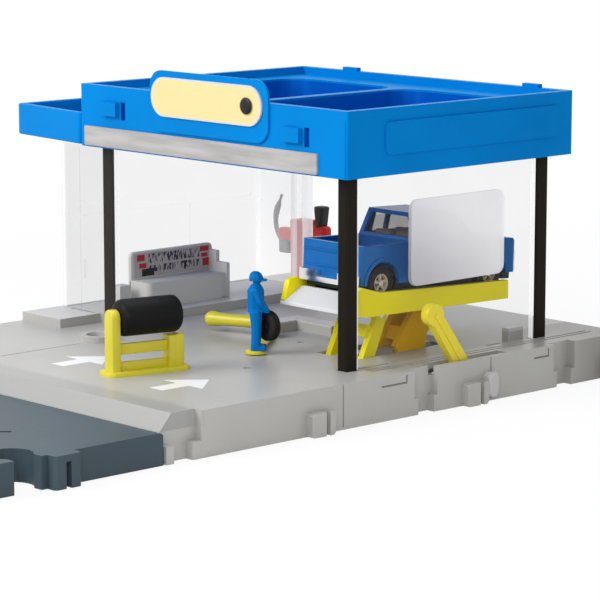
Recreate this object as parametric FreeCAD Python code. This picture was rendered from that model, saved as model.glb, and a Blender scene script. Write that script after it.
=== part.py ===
import FreeCAD, Part
import math
import os

os.makedirs("parts", exist_ok=True)
V = FreeCAD.Vector

# Base moulding
base_wide = 152.0
base_high = 14.0
wall = 2.0
floor_t = 2.0
ramp_run = 4.5
ramp_drop = 5.0
rib_t = 1.4
rib_foot = 0.6
rib_side_x = -43.0
rib_front_y = -29.5
rib_back_y = 34.5
foot_pillar_r = 2.5
pin_hole_r = 1.1
hole_one_x = 38.0
hole_one_y = -34.0
hole_two_x = 17.6
hole_two_y = 7.4
floor_seam_x = -29.3
half_w = base_wide / 2
floor_z = base_high
under_z = base_high - floor_t
module_pitch = 64.0
seam_cut = 0.5
big_sides = 24
mid_sides = 16
few_sides = 12
screw_sides = 8

# Notches and clip tabs along the sides of the base
notch_first = -92.2
notch_front_end = -85.3
notch_mid = 5.7
notch_last = 68.8
notch_w = 10.0
notch_low_w = 6.8
notch_deep = 3.0
notch_lip_z = 5.2
clip_mid = 26.0
clip_pitch = 66.0
clip_edge = 1.8
clip_w = 9.4
clip_out = 3.0
clip_high = 7.2
clip_cut = 0.8
clip_slot = 1.6
clip_slot_deep = 2.0
clip_slot_off = 1.7
peg_step = 7.2
peg_y = clip_mid + peg_step
peg_z = 5.6
peg_r = 1.6
peg_head_r = 3.0
peg_out = 3.2
base_long = 2 * (clip_mid + clip_pitch + clip_w / 2 + clip_edge)
half_l = base_long / 2

# Posts and walls
post = 5.0
post_chamfer = 0.9
post_thin = 1.2
post_thin_chamfer = 0.3
post_right_x = 59.0
post_left_x = -53.3
post_front_y = -16.5
post_back_y = 68.0
post_sunk = 6.0
socket_wall = 2.0
press = 0.03
roof_z = 73.7
post_in_roof = 3.0
pane = 1.2
pane_right_x = 61.6
pane_left_x = -74.5
pane_back_y = 71.0
pane_back_end = -46.0
pane_gap = 0.05
pane_foot = 1.6
foot_half = 3.0
foot_front = 12.0
foot_back = 18.0
foot_left = 25.0
foot_side = 8.0
foot_end = 14.0
door_end_x = -44.7
door_left_x = -63.6
door_head_z = 36.0
door_rail = 1.0
door_relief = 0.4
handle_x = -61.0
handle_z = 28.5
handle_high = 6.5
transom_z = 48.6
mullion_y = 37.4
back_flange = 3.0

# Raised floor at the left and the kerbs
stage_x = -44.0
stage_high = 3.0
stage_end_y = 92.0
step_y = -33.5
step_end_x = -55.3
stage_in = 0.2
boss_x = -29.6
boss_y = -38.0
boss_r = 6.0
boss_high = 2.0
boss_hole_r = 4.0
boss_dip = 0.8
kerb_x = -6.0
kerb_y = 13.5
kerb_long = 14.5
kerb_wide = 6.5
kerb_reach = 23.0
kerb_high = 3.4
stop_x = 58.7
stop_y = 58.0
stop_w = 2.7
stop_l = 7.0
stop_high = 4.0

# Road tile
tile_long = 64.0
tile_high = 9.5
tile_gap = 0.3
tile_corner = 0.8
tile_side_in = 0.4
tile_round = 2.0
tile_top = 1.8
tongue_x = 40.0
tongue_w = 12.0
tongue_reach = 6.0
tongue_high = 4.0
tongue_fit = 0.35
tile_clip_y = -135.7
tile_clip_out = 3.6
tile_clip_slot = 1.8
tile_clip_z = 7.5
stub_r = 2.6
stub_high = 6.0
stub_y = 1.2
tile_socket_y = -147.0
tile_socket_in = 8.1
tile_socket_r = 6.7
tile_neck = 4.6
tile_slot_x = 42.8
tile_slot_y = -132.7
tile_slot_l = 8.0
tile_slot_w = 1.5
tile_slot_turn = 47.0
tile_rib_x = 30.0

# Roof
roof_x0 = -58.2
roof_x1 = 69.1
roof_y0 = -21.6
roof_y1 = 79.0
roof_high = 20.5
roof_rim = 2.5
ledge_drop = 2.6
deck_up = 2.4
roof_plate = 1.6
roof_corner = 1.0
well_y0 = -13.0
well_y1 = 65.0
well_rib_x = 3.5
well_rib_w = 4.0
well_left = -47.0
well_right = 58.0
well_corner = 8.0
panel_y0 = -5.9
panel_y1 = 71.5
panel_up = 6.3
panel_high = 10.0
panel_proud = 0.7
tab_left_x = -32.0
tab_right_x = 52.5
tab_w = 7.0
tab_high = 1.2
block_left_x = -45.7
block_left_z = 84.6
block_right_x = 41.7
block_right_z = 83.2
block_w = 7.6
block_high = 4.6
block_proud = 1.6
vent_w = 2.2
vent_high = 5.8
vent_gap = 1.1
wing_x0 = -98.5
wing_z0 = 74.0
wing_high = 10.5
wing_skew = 4.5
wing_wall = 2.2
wing_fit = 0.1

# Fascia strip and sign
strip_x0 = -55.3
strip_x1 = 56.5
strip_z0 = 74.2
strip_high = 6.4
strip_t = 0.7
sign_x0 = -21.4
sign_x1 = 34.9
sign_z0 = 81.6
sign_z1 = 101.2
sign_r = 5.5
sign_t = 0.8
plaque_x0 = -20.0
plaque_x1 = 32.5
plaque_z0 = 86.6
plaque_z1 = 99.2
plaque_t = 0.7
badge_t = 0.7
badge_ring = 2.2

# Workbench and tool board
bench_x0 = -60.4
bench_x1 = -51.0
bench_y0 = 1.2
bench_y1 = 31.2
bench_end_y = 37.7
bench_top = 25.6
board_high = 9.4
board_t = 1.6
label_t = 0.25
label_edge = 1.2
step_x = -56.3
step1_z = 32.8
step2_z = 29.0
cube_y = -6.6
cube_side = 5.0
cube_deep = 3.4
cube_high = 7.7

# Air and pump station behind the back pane
pump_x = -64.0
pump_y = 84.0
pump_w = 7.4
pump_d = 6.0
pump_high = 12.5
pump_r = 1.2
hood_w = 9.6
hood_d = 7.0
hood_high = 4.4
arm_r = 0.9
arm_rise = 11.0
arm_reach = 5.6
arm_bend = 3.0
head_w = 3.6
head_d = 5.4
head_high = 5.6
bracket_w = 4.6
bracket_t = 2.0
pump_foot = 2.4

# Roller stand
stand_x = 21.2
stand_y = -60.7
stand_turn = -12.5
stand_span = 24.6
upright_w = 5.6
upright_t = 2.9
roller_z = 31.3
far_top = 25.2
axle_skin = 0.8
stand_web = 1.6
web_top = 26.0
window_l = 13.0
window_low = 2.8
window_high = 3.6
window_bar = 2.2
window_cut = 1.2
flange_t = 1.0
flange_w = 12.0
flange_l = 29.5
flange_cut = 3.5
roller_r = 5.7
roller_cap_r = 4.7
roller_far = 11.0
axle_r = 1.1
run_fit = 0.06
side_play = 0.35

# Swing arm with bumper bar and mechanic
swing_x = 4.0
swing_y = 5.0
hub_r = 4.0
hub_high = 2.6
bar_turn = 195.0
bar_reach = 23.5
bar_r = 2.6
bar_lift = 2.4
bar_high = 3.6
foot_x = 22.8
foot_y = -16.7
foot_r = 3.4
arm_w = 4.4
arm_t = 1.1
floor_clear = 0.3
pivot_r = 1.4
pivot_head_r = 2.4
pivot_head_t = 1.0
pivot_deep = 4.5
fig_turn = 47.15
shoe_l = 5.0
shoe_w = 2.7
shoe_high = 1.5
hip_z = 12.6
shoulder_z = 20.0
leg_r = 1.75
torso_r = 2.9
arm_limb_r = 1.15
head_r = 2.1
chin_z = 21.3
cap_top = 25.0
cap_r = 2.35
peak_l = 2.4
peak_t = 0.6
tyre_r = 4.8
tyre_hole = 2.3
tyre_w = 3.4
tyre_ahead = 3.6
tyre_side = 2.0
tyre_lift = 7.6

# Lift linkage
shaft_y = 25.4
shaft_z = 11.2
shaft_r = 1.5
shaft_x0 = 15.0
shaft_x1 = 72.8
rest_lean = 24.5
crank_len = 17.1
crank_t = 2.2
crank_x = 37.7
crank_x2 = 44.9
hub_crank_r = 3.0
eye_r = 2.2
web_t = 1.2
web_off = 2.8
web_s0 = 4.0
web_s1 = 8.5
tie_t = 1.4
tie_off = 2.0
tie_s0 = 8.5
tie_s1 = 12.5
link_y = 4.5
link_x = 34.1
link_x2 = 48.5
link_half = 2.4
pin_r = 1.2
open_gap = 0.3
slot_x0 = 33.6
slot_w = 6.6
slot_x1 = 44.4
slot_y0 = -1.0
slot_y1 = 47.0
slot_gap_y = 39.4
slot_gap_l = 7.6
cap_x = 17.0
cap_x2 = 56.0
cap_w = 5.0
cap_half = 7.0
cap_t = 3.0
screw_r = 0.8
screw_head_r = 1.6
screw_off = 4.8
lever_x = 70.6
lever_t = 3.0
lever_w = 5.4
lever_lean = -36.0
lever_len = 22.6
lever_knob_r = 3.5
lever_boss_r = 2.7
lever_ridge = 0.5
lever_slot_x = 70.1
lever_slot_w = 4.0
lever_slot_y0 = 9.5
lever_slot_y1 = 43.5
link_lug = 2.0

# Lift platform
plat_x0 = 26.0
plat_x1 = 58.4
plat_tilt = 2.33
plat_y0 = -4.0
plat_y1 = 61.0
plat_over_pin = 9.14
cheek_t = 2.0
cheek_high = 6.0
cheek_deep = 7.3
horn_y = -4.4
horn_up = 2.0
horn_end = 3.5
nose_y = -7.0
nose_up = 1.2
toe_y = -9.0
toe_down = 4.9
heel_y = -3.0
deck_drop = 3.55
deck_t = 1.3
crease_y = -2.4
crease_down = 0.9
lip_y = -9.5
lip_run = 1.7
lip_down = 6.4
lip_high = 1.3
apron_t = 1.3
cross_in = 3.0
cross_out = 8.0
cross_t = 1.1
stop_drop = 2.2
stop_t = 1.6
end_stop = 3.0
plat_lug_t = 1.0
front_bar = 4.0
front_lug_half = 1.9
lug_x = 40.6
lug_w = 3.4
lug_fx = 36.6
lug_fx2 = 47.2

# Truck
truck_x = 42.2
truck_y = 6.7
wheel_r = 5.65
wheel_w = 4.6
wheel_hub_r = 2.9
tyre_edge = 0.7
hub_in = 0.5
wheel_out = 13.1
wheelbase = 48.7
truck_half = 13.5
truck_corner = 1.3
tail_u = -9.5
nose_u = 60.3
sill_v = 5.4
rail_v = 17.8
hood_v = 16.6
cab_back = 14.0
cab_front = 42.0
roof_v = 26.4
roof_back = 16.4
roof_front = 33.0
cab_low_half = 12.3
cab_top_half = 10.4
bed_floor_v = 11.5
bed_wall = 1.5
shell = 1.2
arch_r = 7.0
arch_deep = 6.0
flare_w = 1.2
flare_out = 0.35
glass_t = 0.9
truck_axle_r = 0.9
bumper_high = 3.6
bumper_t = 1.6
chassis_v0 = 3.2
chassis_t = 2.6
deck_rest = 0.18
lean = math.radians(rest_lean)
slope = math.tan(math.radians(plat_tilt))
top_dy = crank_len * math.sin(lean)
top_dz = crank_len * math.cos(lean)
pin_z = shaft_z + top_dz
plat_top0 = pin_z + plat_over_pin
horn_z = plat_top0 + horn_up
nose_z = plat_top0 + nose_up
toe_z = plat_top0 - toe_down
crease_z = plat_top0 - crease_down
lip_z = plat_top0 - lip_down
truck_z = plat_top0 - slope * (truck_y - plat_y0) - deck_drop


def box(x0, x1, y0, y1, z0, z1):
    return Part.makeBox(x1 - x0, y1 - y0, z1 - z0, V(x0, y0, z0))


def rod(axis, start, length, r):
    return Part.makeCylinder(r, length, V(*start), axis)


AX = V(1, 0, 0)
AY = V(0, 1, 0)
AZ = V(0, 0, 1)
eps = 0.01


# Rounds made of flats for small and hidden forms
def flats(axis, start, length, r, sides):
    u = AY if axis == AX else AX
    w = axis.cross(u)
    turns = [2 * math.pi * (i + 0.5) / sides for i in range(sides)]
    ring = [V(*start) + u * (r * math.cos(a)) + w * (r * math.sin(a)) for a in turns]
    return prism(ring, axis * length)


def prism(points, direction):
    wire = Part.makePolygon([V(*p) for p in points] + [V(*points[0])])
    return Part.Face(wire).extrude(direction)


def skin(rings):
    faces = [Part.Face(Part.makePolygon([V(*p) for p in ring + ring[:1]])) for ring in (rings[0], rings[-1])]
    for low, high in zip(rings, rings[1:]):
        for i in range(len(low)):
            j = (i + 1) % len(low)
            for corner in ((low[i], low[j], high[j]), (low[i], high[j], high[i])):
                faces.append(Part.Face(Part.makePolygon([V(*p) for p in corner + corner[:1]])))
    solid = Part.Solid(Part.makeShell(faces)).removeSplitter()
    return Part.Solid(solid.Shells[0]) if solid.Volume > 0 else Part.Solid(solid.Shells[0].reversed())


def prism_x(yz, x0, x1):
    return prism([(x0, y, z) for y, z in yz], V(x1 - x0, 0, 0))


def prism_y(xz, y0, y1):
    return prism([(x, y0, z) for x, z in xz], V(0, y1 - y0, 0))


def prism_z(xy, z0, z1):
    return prism([(x, y, z0) for x, y in xy], V(0, 0, z1 - z0))


def edges_along(shape, axis):
    found = []
    for edge in shape.Edges:
        if len(edge.Vertexes) == 2 and edge.Curve.TypeId == "Part::GeomLine":
            step = edge.Vertexes[1].Point - edge.Vertexes[0].Point
            if step.Length > eps and abs(step.normalize().dot(axis)) > 1 - eps:
                found.append(edge)
    return found


def rounded(shape, axis, r):
    return shape.makeFillet(r, edges_along(shape, axis))


def union(shapes):
    whole = shapes[0].multiFuse(shapes[1:])
    return whole.removeSplitter()


def save(name, *solids):
    made = []
    for solid in solids:
        made.extend(solid.Solids)
    bodies = [Part.Solid(s) if s.ShapeType != "Solid" else s for s in made]
    shape = bodies[0] if len(bodies) == 1 else Part.makeCompound(bodies)
    if not all(s.isValid() and s.Volume > 0 for s in bodies):
        print("check", name)
    shape.exportStep("parts/" + name + ".step")
    print(name, len(bodies))


# Places and sections of the posts, and the sockets that hold their ends
post_places = [(post_left_x, post_front_y, post, post_thin),
               (post_right_x, post_front_y, post, post),
               (pane_right_x + pane + pane_gap, post_back_y, post_thin, post)]
pane_door_y = post_front_y - pane - pane_gap
clip_places = [clip_mid - clip_pitch, clip_mid, clip_mid + clip_pitch]


def post_hole(place, z0, z1):
    x, y, w, d = place
    return box(x - press, x + w + press, y - press, y + d + press, z0, z1)


def post_block(place, z0, z1):
    x, y, w, d = place
    return box(x - socket_wall, x + w + socket_wall, y - socket_wall, y + d + socket_wall, z0, z1)


seam_places = [-module_pitch / 2 + 2.5, module_pitch / 2 + 2.5]


def clip_tab(side, y):
    x0, x1 = side * half_w - side * wall / 2, side * (half_w + clip_out)
    tab = box(min(x0, x1), max(x0, x1), y - clip_w / 2, y + clip_w / 2, 0, clip_high)
    tab = tab.makeChamfer(clip_cut, edges_along(tab, AX))
    cut0, cut1 = side * (half_w + clip_out - clip_slot_deep), side * (half_w + clip_out + 1)
    ys = y + clip_slot_off
    return tab.cut(box(min(cut0, cut1), max(cut0, cut1), ys - clip_slot / 2, ys + clip_slot / 2, -1, clip_high + 1))


def pane_slots(gap):
    foot = floor_z - pane_foot
    half = foot_half + gap
    cuts = []
    for y in (post_front_y + post + foot_front, post_back_y - foot_back):
        cuts.append(box(pane_right_x - gap, pane_right_x + pane + gap, y - half, y + half, foot, floor_z + 1))
    for y in (post_front_y + foot_left, pane_back_y - foot_back):
        cuts.append(box(pane_left_x - gap, pane_left_x + pane + gap, y - half, y + half,
                        foot + stage_high, floor_z + stage_high + 1))
    for x in (pane_left_x + foot_side, pane_back_end - foot_end):
        cuts.append(box(x - half, x + half, pane_back_y - gap, pane_back_y + pane + gap,
                        foot + stage_high, floor_z + stage_high + 1))
        cuts.append(box(x - half, x + half, pane_door_y - gap, pane_door_y + pane + gap,
                        foot + stage_high, floor_z + stage_high + 1))
    return cuts


# Main floor: hollow tray with ramp, raised stage, sockets, slots and clips
def base_deck():
    outer = prism_x([(-half_l, 0), (half_l, 0), (half_l, base_high), (-half_l + ramp_run, base_high),
                     (-half_l, base_high - ramp_drop)], -half_w, half_w)
    solid = [outer]
    stage = box(-half_w + stage_in, stage_x, post_front_y, stage_end_y, under_z, floor_z + stage_high)
    step = box(-half_w + stage_in, step_end_x, step_y, post_front_y + 1, under_z, floor_z + stage_high)
    solid += [stage, step]
    solid.append(flats(AZ, (boss_x, boss_y, under_z), floor_t + boss_high, boss_r, big_sides))
    kerb = box(kerb_x, kerb_x + kerb_wide, kerb_y, kerb_y + kerb_long, under_z, floor_z + kerb_high)
    solid += [kerb, box(kerb_x, kerb_x + kerb_reach, kerb_y + kerb_long - kerb_wide, kerb_y + kerb_long,
                        under_z, floor_z + kerb_high)]
    solid.append(box(stop_x, stop_x + stop_w, stop_y, stop_y + stop_l, under_z, floor_z + stop_high))
    for side in (-1, 1):
        solid += [clip_tab(side, y) for y in clip_places]
    for x in (-tongue_x, tongue_x):
        solid.append(box(x - tongue_w / 2, x + tongue_w / 2, -half_l - tongue_reach, -half_l + wall, 0, tongue_high))
    body = union(solid)
    inner_low = base_high - ramp_drop - floor_t / 2
    cavity = prism_x([(-half_l + wall, -1), (half_l - wall, -1), (half_l - wall, under_z),
                      (-half_l + ramp_run + wall / 2, under_z), (-half_l + wall, inner_low)],
                     -half_w + wall, half_w - wall)
    cavity = cavity.fuse(box(-half_w + wall + stage_in, stage_x - wall, post_front_y + wall, stage_end_y - wall,
                             -1, under_z + stage_high))
    keep = []
    notches = [(notch_first, -half_l - 1, notch_front_end)]
    notches += [(y, y - notch_w / 2, y + notch_w / 2) for y in (notch_mid, notch_last)]
    for y, y0, y1 in notches:
        for side in (-1, 1):
            x0, x1 = side * half_w, side * (half_w - notch_deep - wall)
            keep.append(box(min(x0, x1), max(x0, x1), y0 - wall, y1 + wall, 0, base_high))
    for place in post_places:
        keep.append(post_block(place, floor_z - post_sunk - socket_wall, base_high + stage_high))
    for x0 in (cap_x, cap_x2):
        keep.append(box(x0, x0 + cap_w, shaft_y - cap_half, shaft_y + cap_half, shaft_z, base_high))
    link_low = shaft_z - pin_r - link_lug
    for x0 in (link_x - link_lug - side_play, link_x2 + crank_t + side_play):
        keep.append(box(x0, x0 + link_lug, link_y - 3, link_y + 3, link_low, base_high))
    keep.append(flats(AZ, (swing_x, swing_y, floor_z - pivot_deep - 1), pivot_deep + 1, pivot_r + wall, few_sides))
    keep.append(flats(AX, (half_w - 6, peg_y, peg_z), 6, peg_r + wall, few_sides))
    keep.append(flats(AZ, (0, 0, 0), base_high, foot_pillar_r, few_sides))
    for x in (rib_side_x, -rib_t / 2):
        keep.append(box(x, x + rib_t, -half_l, half_l, rib_foot, base_high))
    keep.append(box(-half_w, half_w, rib_front_y, rib_front_y + rib_t, rib_foot, base_high))
    keep.append(box(-half_w, 0, rib_back_y, rib_back_y + rib_t, rib_foot, base_high))
    for item in keep:
        cavity = cavity.cut(item)
    body = body.cut(cavity)
    cuts = []
    for y, y0, y1 in notches:
        for side in (-1, 1):
            x0, x1 = side * (half_w - notch_deep), side * (half_w + 1)
            lo, hi = min(x0, x1), max(x0, x1)
            cuts.append(box(lo, hi, y0, y1, notch_lip_z, base_high + 1))
            cuts.append(box(lo, hi, y - notch_low_w / 2, y + notch_low_w / 2, -1, notch_lip_z + 1))
    for y in seam_places:
        for side in (-1, 1):
            x0, x1 = side * (half_w - seam_cut), side * (half_w + 1)
            cuts.append(box(min(x0, x1), max(x0, x1), y - seam_cut / 2, y + seam_cut / 2, clip_high / 9, base_high + 1))
    for place in post_places:
        cuts.append(post_hole(place, floor_z - post_sunk, base_high + stage_high + 1))
    for x0 in (slot_x0, slot_x1):
        cuts.append(box(x0, x0 + slot_w, slot_y0, slot_y1, under_z - 1, base_high + 1))
    cuts.append(box(slot_x0, slot_x1 + slot_w, slot_gap_y, slot_gap_y + slot_gap_l, under_z - 1, base_high + 1))
    cuts.append(box(lever_slot_x, lever_slot_x + lever_slot_w, lever_slot_y0, lever_slot_y1,
                    under_z - 1, base_high + 1))
    cuts.append(rod(AX, (shaft_x0 - 1, shaft_y, shaft_z), shaft_x1 - shaft_x0 + 1.5, shaft_r + run_fit))
    cuts.append(box(cap_x2, cap_x2 + cap_w, shaft_y - shaft_r, shaft_y + shaft_r, under_z - 3, shaft_z))
    pin_x0 = link_x - link_lug - side_play + 0.6
    pin_x1 = link_x2 + crank_t + side_play + link_lug - 0.6
    cuts.append(rod(AX, (pin_x0, link_y, shaft_z), pin_x1 - pin_x0, pin_r + run_fit))
    cuts.append(rod(AZ, (swing_x, swing_y, floor_z - pivot_deep), pivot_deep + 1, pivot_r - press))
    cuts.append(flats(AX, (half_w - 5, peg_y, peg_z), 6, peg_r + press, few_sides))
    cuts.append(rod(AZ, (boss_x, boss_y, floor_z - boss_dip), boss_high + 2, boss_hole_r))
    for x0 in (cap_x, cap_x2):
        for dy in (-screw_off, screw_off):
            cuts.append(flats(AZ, (x0 + cap_w / 2, shaft_y + dy, shaft_z - 1), 2.6, screw_r - press, screw_sides))
    cuts += pane_slots(pane_gap)
    cuts.append(box(floor_seam_x, floor_seam_x + seam_cut, -half_l + ramp_run, boss_y - boss_r - wall,
                    floor_z - seam_cut, floor_z + 1))
    for x in (lever_slot_x - 4.6, lever_slot_x - 2.4):
        cuts.append(box(x, x + 0.8, notch_first / 9, half_l - 8, floor_z - 0.5, floor_z + 1))
    for x, y in ((hole_one_x, hole_one_y), (hole_two_x, hole_two_y)):
        cuts.append(flats(AZ, (x, y, floor_z - 1), 2, pin_hole_r, few_sides))
    return body.cut(cuts[0].multiFuse(cuts[1:]))


# Clip tab and jigsaw socket at one side of the road tile
def tile_clip(side, edge):
    x0, x1 = side * (edge - wall), side * (edge + tile_clip_out)
    lo, hi = min(x0, x1), max(x0, x1)
    tab = box(lo, hi, tile_clip_y - clip_w / 2, tile_clip_y + clip_w / 2, 0, tile_high)
    tab = tab.makeChamfer(clip_cut, edges_along(tab, AZ))
    slot = box(x1 - clip_slot_deep, x1 + clip_slot_deep, tile_clip_y - tile_clip_slot / 2,
               tile_clip_y + tile_clip_slot / 2, -1, tile_clip_z)
    return tab.cut(slot)


def tile_socket(side, edge, grow, z0, z1):
    x = side * (edge - tile_socket_in)
    lo, hi = min(x, side * (edge + 1)), max(x, side * (edge + 1))
    neck = box(lo, hi, tile_socket_y - tile_neck - grow, tile_socket_y + tile_neck + grow, z0, z1)
    return flats(AZ, (x, tile_socket_y, z0), z1 - z0, tile_socket_r + grow, big_sides).fuse(neck)


def tile_stub(side, edge):
    x = side * (edge - tile_socket_in - tile_socket_r)
    return flats(AZ, (x, tile_socket_y + stub_y, 0), stub_high, stub_r, few_sides)


# Road tile that drops over two tongues of the base
def road_tile():
    edge = half_w - tile_side_in
    y1 = -half_l - tile_gap
    y0 = y1 - tile_long + tile_gap
    tile = rounded(box(-edge, edge, y0, y1, 0, tile_high), AZ, tile_corner)
    brow = box(-half_w, half_w, y1 - tile_round, y1 + 1, tile_high - tile_round, tile_high + 1)
    brow = brow.cut(rod(AX, (-half_w - 1, y1 - tile_round, tile_high - tile_round), base_wide + 2, tile_round))
    body = union([tile.cut(brow)] + [tile_clip(side, edge) for side in (-1, 1)])
    cavity = box(-edge + wall, edge - wall, y0 + wall, y1 - wall, -1, tile_high - tile_top)
    for side in (-1, 1):
        cavity = cavity.cut(tile_socket(side, edge, wall, -2, tile_high + 1))
    for x in (-tile_rib_x, tile_rib_x):
        cavity = cavity.cut(box(x, x + rib_t, y0, y1 - tongue_reach - wall, rib_foot, tile_high))
    body = body.cut(cavity)
    cuts = []
    for side in (-1, 1):
        cuts.append(tile_socket(side, edge, 0, -1, tile_high + 1).cut(tile_stub(side, edge)))
        x = side * tongue_x
        cuts.append(box(x - tongue_w / 2 - tongue_fit, x + tongue_w / 2 + tongue_fit, y1 - wall - 1, y1 + 1,
                        -1, tongue_high + tongue_fit))
    slot = box(-tile_slot_l / 2, tile_slot_l / 2, -tile_slot_w / 2, tile_slot_w / 2, tile_high - tile_top - 1,
               tile_high + 1)
    slot.rotate(V(0, 0, 0), AZ, tile_slot_turn)
    slot.translate(V(tile_slot_x, tile_slot_y, 0))
    cuts.append(slot)
    return body.cut(cuts[0].multiFuse(cuts[1:]))


# Roof tray: rim, ledge, two wells with a rib between, sockets for the posts
def roof_shell():
    z1 = roof_z + roof_high
    ledge = z1 - ledge_drop
    deck = roof_z + deck_up + roof_plate
    outer = rounded(box(roof_x0, roof_x1, roof_y0, roof_y1, roof_z, z1), AZ, roof_corner)
    body = outer.cut(box(roof_x0 + roof_rim, roof_x1 - roof_rim, roof_y0 + roof_rim, roof_y1 - roof_rim,
                         ledge, z1 + 1))
    wells = []
    for x0, x1 in ((well_left, well_rib_x), (well_rib_x + well_rib_w, well_right)):
        wells.append(rounded(box(x0, x1, well_y0, well_y1, deck, z1 + 1), AZ, well_corner))
    below = box(roof_x0 + roof_rim, roof_x1 - roof_rim, roof_y0 + roof_rim, roof_y1 - roof_rim,
                roof_z - 1, ledge - roof_plate)
    for x0, x1 in ((well_left, well_rib_x), (well_rib_x + well_rib_w, well_right)):
        t = roof_plate
        below = below.cut(box(x0 - t, x1 + t, well_y0 - t, well_y1 + t, deck - t, z1 + 1))
    for place in post_places:
        below = below.cut(post_block(place, roof_z, z1))
    body = body.cut(below).cut(wells[0]).cut(wells[1])
    adds = [box(roof_x1 - 1, roof_x1 + panel_proud, panel_y0, panel_y1, roof_z + panel_up,
                roof_z + panel_up + panel_high)]
    adds[0] = rounded(adds[0], AX, 2.0)
    for x in (tab_left_x, tab_right_x):
        adds.append(box(x - tab_w / 2, x + tab_w / 2, roof_y1 - roof_rim, roof_y1 - 0.5, z1 - 1, z1 + tab_high))
    for x, z in ((block_left_x, block_left_z), (block_right_x, block_right_z)):
        adds.append(box(x, x + block_w, roof_y0 - block_proud, roof_y0 + 1, z, z + block_high))
    body = union([body] + adds)
    for place in post_places:
        body = body.cut(post_hole(place, roof_z - 1, roof_z + post_in_roof))
    for x, z in ((block_left_x, block_left_z), (block_right_x, block_right_z)):
        xs = x + block_w + vent_gap
        body = body.cut(box(xs, xs + vent_w, roof_y0 - 1, roof_y0 + 1.2, z - 1, z - 1 + vent_high))
    return body


# Lower roof tray at the left, clipped to the side of the main tray
def roof_wing():
    x1 = roof_x0 - wing_fit
    y1 = roof_y1 - 0.5
    z1 = wing_z0 + wing_high
    plan = [(wing_x0, roof_y0 + wing_skew), (x1, roof_y0), (x1, y1), (wing_x0, y1)]
    outer = prism_z(plan, wing_z0, z1)
    w = wing_wall
    inner = prism_z([(wing_x0 + w, roof_y0 + wing_skew + w), (x1 - w, roof_y0 + w + 0.3), (x1 - w, y1 - w),
                     (wing_x0 + w, y1 - w)], wing_z0 + roof_plate, z1 + 1)
    low = prism_z([(wing_x0 + w, roof_y0 + wing_skew + w), (x1 - w, roof_y0 + w + 0.3), (x1 - w, y1 - w),
                   (wing_x0 + w, y1 - w)], wing_z0 - 1, wing_z0 + 0.6)
    body = rounded(outer, AZ, 1.5).cut(inner).cut(low)
    return body


def fascia_strip():
    y1 = roof_y0
    return rounded(box(strip_x0, strip_x1, y1 - strip_t, y1, strip_z0, strip_z0 + strip_high), AY, 0.5)


def sign_board():
    board = box(sign_x0, sign_x1, roof_y0 - sign_t, roof_y0, sign_z0, sign_z1)
    board = rounded(board, AY, sign_r)
    brace = box(sign_x0 + 12, sign_x1 - 12, roof_y0, roof_y0 + roof_rim, roof_z + roof_high, sign_z1 - 4)
    return union([board, brace])


def sign_plaque():
    y1 = roof_y0 - sign_t
    r = (plaque_z1 - plaque_z0) / 2
    plaque = box(plaque_x0, plaque_x1, y1 - plaque_t, y1, plaque_z0, plaque_z1)
    return rounded(plaque, AY, r * 0.97)


def sign_badge():
    r = (plaque_z1 - plaque_z0) / 2
    y1 = roof_y0 - sign_t - plaque_t
    x, z = plaque_x1 - r, (plaque_z0 + plaque_z1) / 2
    ring = flats(AY, (x, y1 - badge_t, z), badge_t, r - 0.5, big_sides)
    return ring.cut(flats(AY, (x, y1 - badge_t - 1, z), badge_t + 2, r - 0.5 - badge_ring, big_sides))


def corner_post(place, edge):
    x, y, w, d = place
    shape = box(x, x + w, y, y + d, floor_z - post_sunk, roof_z + post_in_roof - 0.2)
    return shape.makeChamfer(edge, edges_along(shape, AZ))


# Clear panes with feet that drop into the floor
def pane_right():
    y0 = post_front_y + post + pane_gap
    body = box(pane_right_x, pane_right_x + pane, y0, post_back_y - pane_gap, floor_z, roof_z)
    return union([body] + pane_slots(0)[0:2])


def pane_feet(index):
    return [s for i, s in enumerate(pane_slots(0)) if i in index]


def pane_left():
    x = pane_left_x
    body = box(x, x + pane, pane_door_y + pane + pane_gap, pane_back_y - pane_gap,
               floor_z + stage_high, roof_z - pane_gap)
    rail = box(x + pane - eps, x + pane + door_relief, post_front_y + 6, pane_back_y - 4, transom_z - door_rail,
               transom_z)
    bar = box(x + pane - eps, x + pane + door_relief, mullion_y, mullion_y + door_rail, floor_z + stage_high + 1,
              transom_z)
    return union([body, rail, bar] + pane_feet((2, 3)))


def pane_back():
    z0 = floor_z + stage_high
    z1 = roof_z - pane_gap
    body = box(pane_left_x, pane_back_end, pane_back_y, pane_back_y + pane, z0, z1)
    edge = box(pane_back_end - pane, pane_back_end, pane_back_y - back_flange, pane_back_y + pane, z0, z1)
    return union([body, edge] + pane_feet((4, 6)))


def pane_door():
    y = pane_door_y
    z0 = floor_z + stage_high
    body = box(pane_left_x, door_end_x, y, y + pane, z0, roof_z - pane_gap)
    front = y - door_relief
    jamb = box(door_left_x, door_left_x + door_rail, front, y + eps, z0 + 1, wing_z0 - 2)
    head = box(door_left_x, post_left_x - 1, front, y + eps, transom_z + 1, transom_z + 1 + door_rail)
    light = box(pane_left_x + 3, door_left_x, front, y + eps, transom_z, transom_z + door_rail)
    handle = box(handle_x, handle_x + door_rail, front - 0.6, y + eps, handle_z, handle_z + handle_high)
    return union([body, jamb, head, light, handle] + pane_feet((5, 7)))


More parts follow.
